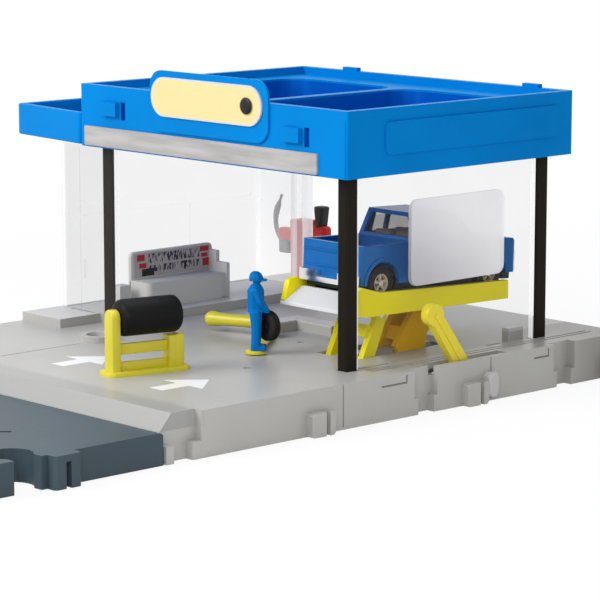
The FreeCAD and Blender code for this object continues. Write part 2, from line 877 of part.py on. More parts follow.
# Workbench on the raised stage
def workbench():
    z0 = floor_z + stage_high
    cabinet = box(bench_x0, bench_x1, bench_y0, bench_end_y, z0, bench_top)
    back = box(bench_x0 - board_t, bench_x0, bench_y0, bench_end_y, z0, bench_top + board_high)
    high = box(bench_x0, step_x, bench_y1, bench_end_y, z0, step1_z)
    low = box(bench_x0, bench_x1, bench_y1, bench_end_y, z0, step2_z)
    cube = box(bench_x0 - board_t, bench_x0 + cube_deep, cube_y, cube_y + cube_side, z0, z0 + cube_high)
    cube_tie = box(bench_x0 - board_t, bench_x0, cube_y, bench_y0 + 1, z0, z0 + board_t)
    body = union([cabinet, back, high, low, cube, cube_tie])
    cut = box(bench_x0 + wall, bench_x1 - wall, bench_y0 + wall, bench_end_y - wall, z0 - 1, bench_top - wall)
    return body.cut(cut)


def tool_board():
    x = bench_x0
    e = label_edge
    return box(x, x + label_t, bench_y0 + e, bench_y1 - e, bench_top + e, bench_top + board_high - e)


# Pump station
def pump_column():
    z0 = floor_z + stage_high
    body = box(pump_x - pump_w / 2, pump_x + pump_w / 2, pump_y - pump_d / 2, pump_y + pump_d / 2, z0,
               z0 + pump_high)
    body = rounded(body, AZ, pump_r)
    window = box(pump_x - pump_w / 4, pump_x + pump_w / 4, pump_y - pump_d / 2 - 1, pump_y - pump_d / 2 + 0.5,
                 z0 + pump_high - 4.5, z0 + pump_high - 1.5)
    return body.cut(window)


def pump_hood():
    z0 = floor_z + stage_high + pump_high
    body = box(pump_x - hood_w / 2, pump_x + hood_w / 2, pump_y - hood_d / 2, pump_y + hood_d / 2, z0,
               z0 + hood_high)
    return rounded(body, AX, 1.4)


def air_arm():
    z0 = floor_z + stage_high + pump_high + hood_high
    x, y, r = pump_x - hood_w / 4, pump_y, arm_r
    rise, drop = arm_rise - arm_bend, arm_reach
    post_part = skin([ring_z(x, y, z0, r), ring_z(x, y, z0 + rise, r), ring_z(x - r, y - 0.4, z0 + arm_rise, r)])
    tip = [[(px - drop, py - 2.0, z0 + rise + (px - x) * 0.5) for px, py, pz in ring_z(x, y, 0, r)]]
    middle = [[(px - drop / 2, py - 1.0, z0 + arm_rise + (px - x)) for px, py, pz in ring_z(x, y, 0, r)]]
    root = [[(px, py, z0 + rise + (px - x)) for px, py, pz in ring_z(x, y, 0, r)]]
    return union([post_part, skin(root + middle), skin(middle + tip)])


def pump_bracket():
    z0 = floor_z + stage_high + pump_high + hood_high
    x = pump_x + hood_w / 4
    post_part = box(x - bracket_t / 2, x + bracket_t / 2, pump_y - 1, pump_y + 1, z0, z0 + arm_rise * 0.55)
    cross = box(x - bracket_t / 2, x + bracket_w, pump_y - 1, pump_y + 1, z0 + arm_rise * 0.55 - 2,
                z0 + arm_rise * 0.55)
    return rounded(union([post_part, cross]), AY, 0.5)


def pump_head():
    z0 = floor_z + stage_high + pump_high + hood_high + arm_rise * 0.55
    x = pump_x + hood_w / 4 + bracket_w - head_w
    body = box(x, x + head_w, pump_y - head_d / 2, pump_y + head_d / 2, z0, z0 + head_high)
    return rounded(body, AX, 1.2)


# Eight points round a centre, for small pieces
def ring_z(x, y, z, rx, ry=None):
    ry = ry or rx
    turns = [math.radians(22.5 + 45 * i) for i in range(8)]
    return [(x + rx * math.cos(a), y + ry * math.sin(a), z) for a in turns]


# Stand and roller, made along X and turned into place
def placed(shape):
    out = shape.copy()
    out.rotate(V(0, 0, 0), AZ, 90 + stand_turn)
    out.translate(V(stand_x, stand_y, 0))
    return out


def roller_stand():
    z0 = floor_z
    h = stand_span / 2
    r = upright_w / 2
    near = box(-h, -h + upright_t, -r, r, z0, roller_z).fuse(rod(AX, (-h, 0, roller_z), upright_t, r))
    far = box(h - upright_t, h, -r, r, z0, far_top)
    web = box(-h + 1, h - 1, -stand_web / 2, stand_web / 2, z0, web_top)
    fl, fw, c = flange_l / 2, flange_w / 2, flange_cut
    flange = prism_z([(-fl, -fw + c), (-fl + c, -fw), (fl - c, -fw), (fl, -fw + c), (fl, fw - c), (fl - c, fw),
                      (-fl + c, fw), (-fl, fw - c)], z0, z0 + flange_t)
    body = union([near, far, web, flange])
    a0 = -h + upright_t
    z = z0 + window_low
    low = box(a0, a0 + window_l, -fw, fw, z, z + window_high)
    low = low.makeChamfer(window_cut, edges_along(low, AY))
    high = low.copy()
    high.translate(V(0, 0, window_high + window_bar))
    clear = rod(AX, (a0, 0, roller_z), stand_span, roller_r + 0.5)
    hole = rod(AX, (-h + axle_skin, 0, roller_z), upright_t, axle_r + run_fit)
    return placed(body.cut(low).cut(high).cut(clear).cut(hole))


def ring_x(x, y, z, r, sides):
    turns = [2 * math.pi * i / sides for i in range(sides)]
    return [(x, y + r * math.cos(a), z + r * math.sin(a)) for a in turns]


def turned_x(profile, y, z, sides):
    return skin([ring_x(x, y, z, r, sides) for x, r in profile])


def roller():
    a0 = -stand_span / 2 + upright_t + side_play
    edge = roller_r - roller_cap_r
    drum = turned_x([(a0, roller_cap_r), (a0 + edge, roller_r), (roller_far - edge, roller_r),
                     (roller_far, roller_cap_r)], 0, roller_z, big_sides)
    return placed(drum.cut(rod(AX, (a0 - 1, 0, roller_z), 2 * stand_span, axle_r + press)))


def roller_axle():
    a0 = -stand_span / 2 + axle_skin + run_fit
    return placed(rod(AX, (a0, 0, roller_z), roller_far - a0, axle_r))


# Swing arm that carries the mechanic
def turned(shape, x, y, angle):
    out = shape.copy()
    out.rotate(V(0, 0, 0), AZ, angle)
    out.translate(V(x, y, 0))
    return out


def swing_arm():
    z0 = floor_z + floor_clear
    hub = flats(AZ, (0, 0, z0), hub_high, hub_r, mid_sides)
    bar = box(0, bar_reach - bar_r, -bar_r, bar_r, z0 + bar_lift - 1.4, z0 + bar_lift + bar_high)
    tip = rod(AZ, (bar_reach - bar_r, 0, z0 + bar_lift - 1.4), bar_high + 1.4, bar_r)
    bumper = turned(bar.fuse(tip).cut(rod(AZ, (0, 0, z0 + hub_high), bar_high + 4, pivot_head_r + 0.6)),
                    0, 0, bar_turn)
    dx, dy = foot_x - swing_x, foot_y - swing_y
    reach = math.hypot(dx, dy)
    arm = turned(box(0, reach, -arm_w / 2, arm_w / 2, z0, z0 + arm_t), 0, 0, math.degrees(math.atan2(dy, dx)))
    foot = flats(AZ, (dx, dy, z0), arm_t, foot_r, big_sides)
    body = union([hub, bumper, arm, foot])
    body.translate(V(swing_x, swing_y, 0))
    bore = rod(AZ, (swing_x, swing_y, z0 - 1), hub_high + 2, pivot_r + run_fit)
    return body.cut(bore)


def swing_screw():
    z = floor_z + floor_clear + hub_high + 0.1
    shank = rod(AZ, (swing_x, swing_y, floor_z - pivot_deep + 0.3), z - floor_z + pivot_deep - 0.2, pivot_r)
    head = flats(AZ, (swing_x, swing_y, z), pivot_head_t, pivot_head_r, few_sides)
    return shank.fuse(head)


def limb(points, radii):
    rings = [ring_z(x, y, z, r) for (x, y, z), r in zip(points, radii)]
    return skin(rings)


# Figure, made looking along X and turned into place
def mechanic_figure():
    bodies = []
    for side in (-1, 1):
        y = side * leg_r * 0.95
        shoe = box(-1.6, shoe_l - 1.6, y - shoe_w / 2, y + shoe_w / 2, 0, shoe_high)
        bodies.append(shoe.makeChamfer(0.7, edges_along(shoe, AZ)))
        bodies.append(limb([(0, y, shoe_high - 0.1), (0.2, y, hip_z * 0.55), (0, y * 0.95, hip_z)],
                           [leg_r * 0.95, leg_r * 0.98, leg_r * 1.25]))
        sy = side * torso_r
        bodies.append(limb([(tyre_ahead, side * 1.8, tyre_lift + tyre_r - 0.4), (1.6, sy * 1.15, hip_z + 2.6),
                            (0, sy, shoulder_z - 0.6), (0, sy * 0.8, shoulder_z + 0.3)],
                           [arm_limb_r * 0.9, arm_limb_r, arm_limb_r * 1.1, arm_limb_r * 0.7]))
    torso = [ring_z(0, 0, hip_z - 0.6, torso_r * 0.95, torso_r * 0.95), ring_z(0, 0, hip_z + 3, torso_r * 0.98, torso_r),
             ring_z(0, 0, shoulder_z - 1, torso_r * 1.0, torso_r * 1.12), ring_z(0.1, 0, shoulder_z + 0.8, 1.6, 1.7)]
    bodies.append(skin(torso))
    bodies.append(limb([(0.2, 0, shoulder_z), (0.2, 0, chin_z + 0.4)], [1.15, 1.15]))
    face = [(0.5, 0, chin_z), (0.4, 0, chin_z + head_r * 0.7), (0.2, 0, cap_top - cap_r)]
    bodies.append(limb(face, [head_r * 0.55, head_r, head_r]))
    brim = cap_top - cap_r - 0.7
    crown = [(0.1, 0, brim), (0.1, 0, brim + 1.4), (0, 0, cap_top - 0.6), (-0.1, 0, cap_top)]
    bodies.append(limb(crown, [cap_r, cap_r, cap_r * 0.75, cap_r * 0.35]))
    w = cap_r * 0.75
    reach = cap_r * 0.5 + peak_l
    bodies.append(prism_z([(0, -w), (reach - 0.8, -w), (reach, -w * 0.5), (reach, w * 0.5), (reach - 0.8, w), (0, w)],
                          brim, brim + peak_t))
    figure = bodies[0]
    for item in bodies[1:]:
        figure = figure.fuse(item)
    figure = figure.cut(tyre_local(0.12)).removeSplitter()
    figure.rotate(V(0, 0, 0), AZ, fig_turn)
    figure.translate(V(foot_x, foot_y, floor_z + floor_clear + arm_t))
    return figure


def tyre_local(gap):
    ring = rod(AY, (tyre_ahead + 1.2, -tyre_w / 2 - gap, tyre_lift), tyre_w + 2 * gap, tyre_r + gap)
    return ring


def spare_tyre():
    h = tyre_w / 2
    ring = turned_x([(-h, tyre_r - 0.6), (-h + 0.6, tyre_r), (h - 0.6, tyre_r), (h, tyre_r - 0.6)], 0, 0, big_sides)
    ring = ring.cut(prism(ring_x(-h - 1, 0, 0, tyre_hole, big_sides), V(tyre_w + 2, 0, 0)))
    ring.rotate(V(0, 0, 0), AZ, 90)
    ring.translate(V(tyre_ahead + 1.2, 0, tyre_lift))
    ring.rotate(V(0, 0, 0), AZ, fig_turn)
    ring.translate(V(foot_x, foot_y, floor_z + floor_clear + arm_t))
    return ring


# Lift parts, made upright at the pivot and leaned to the rest angle
def leaned(shape, y, z, angle):
    out = shape.copy()
    out.rotate(V(0, 0, 0), AX, -angle)
    out.translate(V(0, y, z))
    return out


def lift_shaft():
    return rod(AX, (shaft_x0, shaft_y, shaft_z), shaft_x1 - shaft_x0, shaft_r)


def crank_plate(x):
    front = [(-hub_crank_r, 0), (-5.4, 1.5), (-4.8, 5.0), (-4.0, 9.0), (-3.0, 13.0), (-eye_r, crank_len)]
    back = [(eye_r, crank_len), (4.7, 14.9), (7.4, 12.7), (6.4, 10.0), (7.2, 6.0), (7.0, 2.0), (hub_crank_r, 0)]
    plate = prism_x(front + back, x, x + crank_t)
    return union([plate, flats(AX, (x, 0, 0), crank_t, hub_crank_r, mid_sides),
                  flats(AX, (x, 0, crank_len), crank_t, eye_r, mid_sides)])


def lift_crank():
    plates = [crank_plate(crank_x), crank_plate(crank_x2)]
    web = box(crank_x + 1, crank_x2 + 1, -web_off - web_t, -web_off, web_s0, web_s1)
    body = union(plates + [web])
    for z, r in ((0, shaft_r + press), (crank_len, pin_r + press)):
        body = body.cut(rod(AX, (crank_x - 1, 0, z), crank_x2 - crank_x + crank_t + 2, r))
    return leaned(body, shaft_y, shaft_z, rest_lean)


def arm_bar(x):
    w = link_half
    bar = prism_x([(-w, 0), (-w * 0.85, crank_len), (w * 0.85, crank_len), (w, 0)], x, x + crank_t)
    return union([bar, flats(AX, (x, 0, 0), crank_t, w, mid_sides),
                  flats(AX, (x, 0, crank_len), crank_t, w * 0.85, mid_sides)])


def front_link():
    tie = box(link_x + 1, link_x2 + 1, -tie_off - tie_t, -tie_off, tie_s0, tie_s1)
    body = union([arm_bar(link_x), arm_bar(link_x2), tie])
    for z in (0, crank_len):
        body = body.cut(rod(AX, (link_x - 1, 0, z), link_x2 - link_x + crank_t + 2, pin_r + press))
    return leaned(body, link_y, shaft_z, rest_lean)


def link_foot_pin():
    x0 = link_x - link_lug - side_play + 0.9
    x1 = link_x2 + crank_t + side_play + link_lug - 0.9
    return rod(AX, (x0, link_y, shaft_z), x1 - x0, pin_r)


def link_top_pins():
    y, z = link_y + top_dy, shaft_z + top_dz
    inner = rod(AX, (link_x + 0.2, y, z), lug_fx + plat_lug_t - link_x - 0.2, pin_r)
    outer = rod(AX, (lug_fx2, y, z), link_x2 + crank_t - lug_fx2 - 0.2, pin_r)
    return [inner, outer]


def crank_pin():
    return rod(AX, (crank_x + 0.2, shaft_y + top_dy, shaft_z + top_dz), crank_x2 - crank_x + crank_t - 0.4, pin_r)


def lift_lever():
    w = lever_w / 2
    x0, x1 = lever_x, lever_x + lever_t
    bar = prism_x([(-w, 0), (-w * 0.9, lever_len), (w * 0.9, lever_len), (w, 0)], x0, x1)
    boss = rod(AX, (x0, 0, 0), lever_t, lever_boss_r)
    knob = rod(AX, (x0, 0, lever_len), lever_t, lever_knob_r)
    ridge = box(x1 - eps, x1 + lever_ridge, -0.6, 0.6, 4.0, lever_len)
    body = union([bar, boss, knob, ridge])
    body = body.cut(rod(AX, (x0 - 1, 0, 0), 1 + shaft_x1 - x0 + press, shaft_r + press))
    return leaned(body, shaft_y, shaft_z, lever_lean)


def shaft_caps():
    caps = []
    for x0 in (cap_x, cap_x2):
        cap = box(x0, x0 + cap_w, shaft_y - cap_half, shaft_y + cap_half, shaft_z - 0.05 - cap_t, shaft_z - 0.05)
        cap = cap.cut(rod(AX, (x0 - 1, shaft_y, shaft_z), cap_w + 2, shaft_r + run_fit))
        for dy in (-screw_off, screw_off):
            cap = cap.cut(flats(AZ, (x0 + cap_w / 2, shaft_y + dy, shaft_z - cap_t - 1), cap_t + 2,
                                screw_r + 0.1, screw_sides))
        caps.append(cap)
    return caps


def cap_screws():
    screws = []
    for x0 in (cap_x, cap_x2):
        for dy in (-screw_off, screw_off):
            x, y, z = x0 + cap_w / 2, shaft_y + dy, shaft_z - 0.05 - cap_t
            shank = flats(AZ, (x, y, z - eps), cap_t + 1.4, screw_r, screw_sides)
            head = flats(AZ, (x, y, z - 1.0), 1.0, screw_head_r, screw_sides)
            screws.append(shank.fuse(head))
    return screws


# Platform outlines follow one tilted line
def top_z(y, below):
    return plat_top0 - slope * (y - plat_y0) - below


def cheek(x0):
    line = [(plat_y1, top_z(plat_y1, 0)), (horn_end, top_z(horn_end, 0)), (horn_y, horn_z), (nose_y, nose_z),
            (toe_y, toe_z), (lip_y + lip_run + 0.1, toe_z), (lip_y + lip_run + 0.1, lip_z),
            (heel_y, top_z(heel_y, cheek_deep)), (plat_y1, top_z(plat_y1, cheek_high))]
    return prism_x(line, x0, x0 + cheek_t)


rear_y = shaft_y + top_dy
front_y = link_y + top_dy
deck_low = deck_drop + deck_t


# Lugs hang from cross bars that lie just behind each pin
def lug(x, w, y):
    z = shaft_z + top_dz
    drop = prism_x([(y - 0.5, z - eye_r * 0.7), (y, z + eye_r * 0.8), (y + cross_in, top_z(y + cross_in, deck_low)),
                    (y + cross_out, top_z(y + cross_out, deck_low)),
                    (y + cross_out, top_z(y + cross_out, deck_low + cross_t))], x, x + w)
    return drop.fuse(flats(AX, (x, y, z), w, eye_r, mid_sides))


def front_lug(x, y):
    z = pin_z
    drop = prism_x([(y - front_lug_half, z), (y, top_z(y, deck_low)), (y + front_bar, top_z(y + front_bar, deck_low)),
                    (y + front_bar, top_z(y + front_bar, deck_low + cross_t)), (y + front_lug_half, z)],
                   x, x + plat_lug_t)
    return drop.fuse(flats(AX, (x, y, z), plat_lug_t, eye_r, mid_sides))


def cross_bar(y0, y1):
    return prism_x([(y0, top_z(y0, deck_low)), (y1, top_z(y1, deck_low)), (y1, top_z(y1, deck_low + cross_t)),
                    (y0, top_z(y0, deck_low + cross_t))], plat_x0 + 1, plat_x1 - 1)


def lift_platform():
    parts = [cheek(plat_x0), cheek(plat_x1 - cheek_t)]
    parts.append(cross_bar(front_y, front_y + front_bar))
    parts.append(cross_bar(rear_y + cross_in, rear_y + cross_out))
    parts.append(cross_bar(plat_y1 - cross_out, plat_y1))
    parts.append(lug(lug_x, lug_w, rear_y))
    parts += [front_lug(lug_fx, front_y), front_lug(lug_fx2, front_y)]
    y = plat_y1 - stop_t
    parts.append(prism_x([(y, top_z(y, deck_low + 0.5)), (y, top_z(y, stop_drop)), (plat_y1, top_z(y, stop_drop)),
                          (plat_y1, top_z(y, deck_low + 0.5))], plat_x0 + 1, plat_x1 - 1))
    body = union(parts)
    z = shaft_z + top_dz
    body = body.cut(rod(AX, (lug_x - 1, rear_y, z), lug_w + 2, pin_r + run_fit))
    return body.cut(rod(AX, (lug_fx - 1, front_y, z), lug_fx2 - lug_fx + plat_lug_t + 2, pin_r + open_gap))


def lift_deck():
    g = press
    y_end = plat_y1 - stop_t - g
    y_in = crease_y + apron_t
    line = [(y_end, top_z(y_end, deck_drop)), (y_in, top_z(y_in, deck_drop)), (y_in, crease_z),
            (crease_y, crease_z), (lip_y, lip_z + lip_high), (lip_y, lip_z), (lip_y + lip_run, lip_z),
            (y_in, top_z(y_in, deck_low)), (y_end, top_z(y_end, deck_low))]
    deck = prism_x(line, plat_x0 + cheek_t + g, plat_x1 - cheek_t - g)
    lip = box(plat_x0, plat_x1, lip_y, lip_y + lip_run, lip_z, lip_z + lip_high)
    return union([deck, lip])


def side_peg():
    y, z, r = peg_y, peg_z, peg_head_r
    head = box(half_w, half_w + peg_out, y - r * 0.75, y + r * 0.75, z - r * 1.3, z + r * 1.3)
    head = head.makeChamfer(r * 0.4, edges_along(head, AX))
    front = [e for e in head.Edges if min(v.X for v in e.Vertexes) > half_w + peg_out - eps]
    head = head.makeChamfer(0.6, front)
    stem = flats(AX, (half_w - 4.5, peg_y, peg_z), 6.5, peg_r, few_sides)
    return head.fuse(stem)


# Truck: own frame has u back to front from the rear wheel, v up from the deck
def on_lift(shape):
    out = shape.copy()
    out.translate(V(truck_x, truck_y, truck_z + deck_rest))
    out.rotate(V(truck_x, truck_y, truck_z + wheel_r), AX, -plat_tilt)
    return out


# Cab outline at a height, set in from the outside
def cab_ring(v, inset):
    share = (v - rail_v) / (roof_v - rail_v)
    half = cab_low_half + share * (cab_top_half - cab_low_half) - inset
    back = cab_back + share * (roof_back - cab_back) + inset
    front = cab_front + share * (roof_front - cab_front) - 2 * inset
    return [(-half, back, v), (half, back, v), (half, front, v), (-half, front, v)]


def cab_prism(inset, v_low, v_top):
    return skin([cab_ring(v_low, inset), cab_ring(v_top, inset)])


def side_windows(grow):
    g = grow
    rear = [(roof_back + 2.2 - g, rail_v + 0.9 - g), (roof_back + 2.6 - g, roof_v - 1.6 + g),
            (roof_back + 8.0 + g, roof_v - 1.6 + g), (roof_back + 8.0 + g, rail_v + 0.9 - g)]
    front = [(roof_back + 9.4 - g, rail_v + 0.9 - g), (roof_back + 9.4 - g, roof_v - 1.6 + g),
             (roof_front - 0.4, roof_v - 1.6 + g), (cab_front - 4.4 + g, rail_v + 0.9 - g)]
    return [prism_x(rear, -truck_half, truck_half), prism_x(front, -truck_half, truck_half)]


def end_windows(grow):
    g = grow
    w0, w1 = cab_low_half - 1.9 + g, cab_top_half - 1.4 + g
    v0, v1 = rail_v + 1.0 - g, roof_v - 1.3 + g
    face = [(-w0, v0), (w0, v0), (w1, v1), (-w1, v1)]
    return [prism_y(face, cab_back - 1, cab_back + 5), prism_y(face, roof_front + 0.6, cab_front + 1)]


def truck_outer():
    side = [(tail_u, sill_v), (tail_u, rail_v), (cab_front - 0.5, rail_v), (nose_u - 1.6, hood_v),
            (nose_u, hood_v - 1.6), (nose_u, sill_v)]
    lower = prism_x(side, -truck_half, truck_half)
    lower = rounded(lower, AZ, truck_corner)
    return union([lower, cab_prism(0, rail_v - 1, roof_v)])


def arch_space(side, u):
    x0, x1 = sorted((side * (truck_half - arch_deep), side * (truck_half + 1)))
    way = box(x0, x1, u - arch_r, u + arch_r, -1, wheel_r)
    return union([flats(AX, (x0, u, wheel_r), x1 - x0, arch_r, big_sides), way])


def flare(side, u):
    x0, x1 = sorted((side * (truck_half - 1), side * (truck_half + flare_out)))
    r = arch_r + flare_w
    return flats(AX, (x0, u, wheel_r), x1 - x0, r, big_sides).common(box(x0, x1, u - r, u + r, sill_v, rail_v))


def truck_body():
    body = union([truck_outer()] + [flare(side, u) for side in (-1, 1) for u in (0, wheelbase)])
    bed = box(-truck_half + bed_wall, truck_half - bed_wall, tail_u + bed_wall, cab_back - 0.6, bed_floor_v,
              roof_v)
    body = body.cut(bed)
    inside = box(-truck_half + shell, truck_half - shell, cab_back + 0.6, nose_u - shell, -1, hood_v - shell)
    inside = inside.fuse(box(-truck_half + shell, truck_half - shell, tail_u + shell, cab_back + 1, -1,
                             bed_floor_v - shell))
    cabin = cab_prism(shell, hood_v - shell - 0.5, roof_v - shell)
    body = body.cut(inside).cut(cabin)
    for u in (0, wheelbase):
        for side in (-1, 1):
            body = body.cut(arch_space(side, u))
    for cut in side_windows(0) + end_windows(0):
        body = body.cut(cut)
    return on_lift(body)


def truck_glazing():
    gap = 0.05
    outer = cab_prism(shell + gap, rail_v - 0.8, roof_v - shell - gap)
    t = shell + glass_t
    return on_lift(outer.cut(cab_prism(t, rail_v - 1.0, roof_v - t)))


def truck_interior():
    v0 = chassis_v0 + chassis_t
    w = truck_half - shell - 1.2
    floor = box(-w + 6, w - 6, cab_back + 2, cab_front - 6, v0, v0 + 4)
    seats = [floor]
    for u in (cab_back + 4.5, cab_back + 13.5):
        for side in (-1, 1):
            x = side * 4.6
            seats.append(box(x - 3.2, x + 3.2, u, u + 5.5, v0 + 3, v0 + 8))
            seats.append(box(x - 3.2, x + 3.2, u - 1.4, u + 0.6, v0 + 3, v0 + 14))
    seats.append(box(-w + 2, w - 2, cab_front - 8, cab_front - 4, v0 + 5, v0 + 10.5))
    seats.append(box(-3, 3, cab_front - 9, cab_front - 5, v0 + 3, v0 + 6))
    return on_lift(union(seats))


def truck_chassis():
    v0, v1 = chassis_v0, chassis_v0 + chassis_t
    w = truck_half - shell - 0.1
    plate = box(-w, w, tail_u + shell + 0.1, nose_u - shell - 0.1, v0, v1)
    for u in (0, wheelbase):
        for side in (-1, 1):
            x0, x1 = side * (w - arch_deep + 1), side * (w + 1)
            plate = plate.cut(box(min(x0, x1), max(x0, x1), u - arch_r + 0.2, u + arch_r - 0.2, 0, v1 + 1))
    blocks = [plate]
    for u in (0, wheelbase):
        blocks.append(box(-5.5, 5.5, u - 2.4, u + 2.4, v0, wheel_r + 2.2))
    body = union(blocks)
    for u in (0, wheelbase):
        body = body.cut(rod(AX, (-truck_half, u, wheel_r), 2 * truck_half, truck_axle_r + run_fit))
    rail = [box(-5.0, -3.4, 8, wheelbase - 8, v0 - 0.8, v0 + 0.5), box(3.4, 5.0, 8, wheelbase - 8, v0 - 0.8, v0 + 0.5)]
    tank = box(-9.5, -6.5, 12, 26, v0 - 0.6, v0 + 0.5)
    return on_lift(union([body, tank] + rail))


def truck_bumper():
    w = truck_half - 0.3
    bar = box(-w, w, tail_u - bumper_t, tail_u - 0.02, sill_v - 0.4, sill_v - 0.4 + bumper_high)
    bar = rounded(bar, AZ, 0.7)
    step = box(-4.5, 4.5, tail_u - bumper_t - 1, tail_u, sill_v + 1.2, sill_v + bumper_high)
    return on_lift(bar.cut(step))


def truck_grille():
    w = truck_half - 1.2
    bar = box(-w, w, nose_u + 0.02, nose_u + 1.0, sill_v, hood_v - 3.6)
    bar = rounded(bar, AY, 1.2)
    for i in range(3):
        v = sill_v + 2.2 + 1.9 * i
        bar = bar.cut(box(-w + 5, w - 5, nose_u + 0.6, nose_u + 2, v, v + 0.9))
    return on_lift(bar)


def tyre_pair(u):
    made = []
    for side in (-1, 1):
        x0 = side * wheel_out - (wheel_w if side > 0 else 0)
        x1 = x0 + wheel_w
        low = wheel_r - tyre_edge
        tyre = turned_x([(x0, low), (x0 + tyre_edge, wheel_r), (x1 - tyre_edge, wheel_r), (x1, low)],
                        u, wheel_r, big_sides)
        hole = prism(ring_x(x0 - 1, u, wheel_r, wheel_hub_r, big_sides), V(wheel_w + 2, 0, 0))
        made.append(on_lift(tyre.cut(hole)))
    return made


def hub_pair(u):
    made = []
    for side in (-1, 1):
        x0 = side * wheel_out - (wheel_w if side > 0 else 0) + hub_in
        hub = prism(ring_x(x0, u, wheel_r, wheel_hub_r, big_sides), V(wheel_w - 2 * hub_in, 0, 0))
        made.append(on_lift(hub.cut(rod(AX, (x0 - 1, u, wheel_r), wheel_w + 2, truck_axle_r + press))))
    return made


def truck_axle(u):
    h = wheel_out - 0.3
    return on_lift(rod(AX, (-h, u, wheel_r), 2 * h, truck_axle_r))


save("base_deck", base_deck())
save("road_tile", road_tile())
save("roof_shell", roof_shell())
save("roof_wing", roof_wing())
save("fascia_strip", fascia_strip())
save("sign_board", sign_board())
save("sign_plaque", sign_plaque())
save("sign_badge", sign_badge())
save("post_front_left", corner_post(post_places[0], post_thin_chamfer))
save("post_front_right", corner_post(post_places[1], post_chamfer))
save("post_back_right", corner_post(post_places[2], post_thin_chamfer))
save("pane_right", pane_right())
save("pane_left", pane_left())
save("pane_back", pane_back())
save("pane_door", pane_door())
save("workbench", workbench())
save("tool_board", tool_board())
save("pump_column", pump_column())
save("pump_hood", pump_hood())
save("air_arm", air_arm())
save("pump_bracket", pump_bracket())
save("pump_head", pump_head())
save("roller_stand", roller_stand())
save("roller", roller())
save("roller_axle", roller_axle())
save("swing_arm", swing_arm())
save("swing_screw", swing_screw())
save("mechanic_figure", mechanic_figure())
save("spare_tyre", spare_tyre())
save("lift_shaft", lift_shaft())
save("lift_crank", lift_crank())
save("crank_pin", crank_pin())
save("front_link", front_link())
save("link_foot_pin", link_foot_pin())
save("link_top_pins", *link_top_pins())
save("lift_lever", lift_lever())
save("shaft_caps", *shaft_caps())
save("cap_screws", *cap_screws())
save("lift_platform", lift_platform())
save("lift_deck", lift_deck())
save("side_peg", side_peg())
save("truck_body", truck_body())
save("truck_glazing", truck_glazing())
save("truck_interior", truck_interior())
save("truck_chassis", truck_chassis())
save("truck_bumper", truck_bumper())
save("truck_grille", truck_grille())
save("truck_axle_rear", truck_axle(0))
save("truck_axle_front", truck_axle(wheelbase))
save("tyres_rear", *tyre_pair(0))
save("tyres_front", *tyre_pair(wheelbase))
save("hubs_rear", *hub_pair(0))
save("hubs_front", *hub_pair(wheelbase))
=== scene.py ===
# %% [markdown]
# The frame.
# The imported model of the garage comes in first, with every part at its real place.
# Everything made later is fitted to it, so the looks can never drift from the mechanism.

import bmesh
import bpy
import math
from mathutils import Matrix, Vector


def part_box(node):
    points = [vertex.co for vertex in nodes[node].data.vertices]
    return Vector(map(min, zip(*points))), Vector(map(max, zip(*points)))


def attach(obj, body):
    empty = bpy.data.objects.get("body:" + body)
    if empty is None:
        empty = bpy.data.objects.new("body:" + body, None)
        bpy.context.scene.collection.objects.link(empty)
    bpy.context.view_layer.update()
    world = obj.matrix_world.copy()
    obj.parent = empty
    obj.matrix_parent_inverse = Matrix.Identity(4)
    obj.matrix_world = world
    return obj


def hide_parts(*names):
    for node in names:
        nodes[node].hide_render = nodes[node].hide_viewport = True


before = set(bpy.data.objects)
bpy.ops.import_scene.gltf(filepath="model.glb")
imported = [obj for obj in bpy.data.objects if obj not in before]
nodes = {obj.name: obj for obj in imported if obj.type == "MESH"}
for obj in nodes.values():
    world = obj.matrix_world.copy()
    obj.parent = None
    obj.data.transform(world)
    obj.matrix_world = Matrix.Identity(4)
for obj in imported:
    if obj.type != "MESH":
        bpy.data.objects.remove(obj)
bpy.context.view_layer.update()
MM = 0.001

# %% [markdown]
# The camera.
# The toy was photographed from its front right corner with a long lens, a little above the roof.
# The place, the aim and the lens were worked out from the roof, the posts and the base edges,
# so that straight edges of the model fall on the same pixels as the real ones.

# %% Set the camera
def aim(thing, place, direction):
    """Put a camera or a lamp at a place and turn its -Z axis along a direction."""
    thing.location = place
    thing.rotation_euler = Vector(direction).to_track_quat("-Z", "Y").to_euler()

scene = bpy.context.scene
camera_data = bpy.data.cameras.new("camera")
camera = bpy.data.objects.new("camera", camera_data)
scene.collection.objects.link(camera)
camera_data.sensor_width = 36
camera_data.lens = 166.7
camera_data.clip_start = 0.01
aim(camera, (0.66196, -0.59075, 0.17721), (-0.72274, 0.67051, -0.16753))
scene.camera = camera
print("camera lens", camera_data.lens)

# %% [markdown]
# The light.
# A product picture like this one is lit by large soft boxes: one high on the left of the camera,
# a weaker one from the right, and a pale room all round that fills the shadows.
# Area lamps of that size give the broad soft highlights that moulded plastic shows.

# %% Hang the soft boxes
def soft_box(name, place, target, size, power):
    """A square area lamp at a place, turned to a target."""
    lamp_data = bpy.data.lights.new(name, "AREA")
    lamp_data.shape = "SQUARE"
    lamp_data.size = size
    lamp_data.energy = power
    lamp = bpy.data.objects.new(name, lamp_data)
    scene.collection.objects.link(lamp)
    aim(lamp, place, Vector(target) - Vector(place))
    return lamp

middle = (0.0, -0.02, 0.05)
near_corner = (0.05, -0.08, 0.03)
soft_box("key_box", (-0.30, -0.80, 0.60), middle, 0.55, 7.5)
soft_box("side_box", (0.50, -0.45, 0.30), near_corner, 0.35, 1.35)
soft_box("top_box", (-0.05, 0.10, 0.95), middle, 0.70, 3.4)
print("lamps", len(bpy.data.lights))

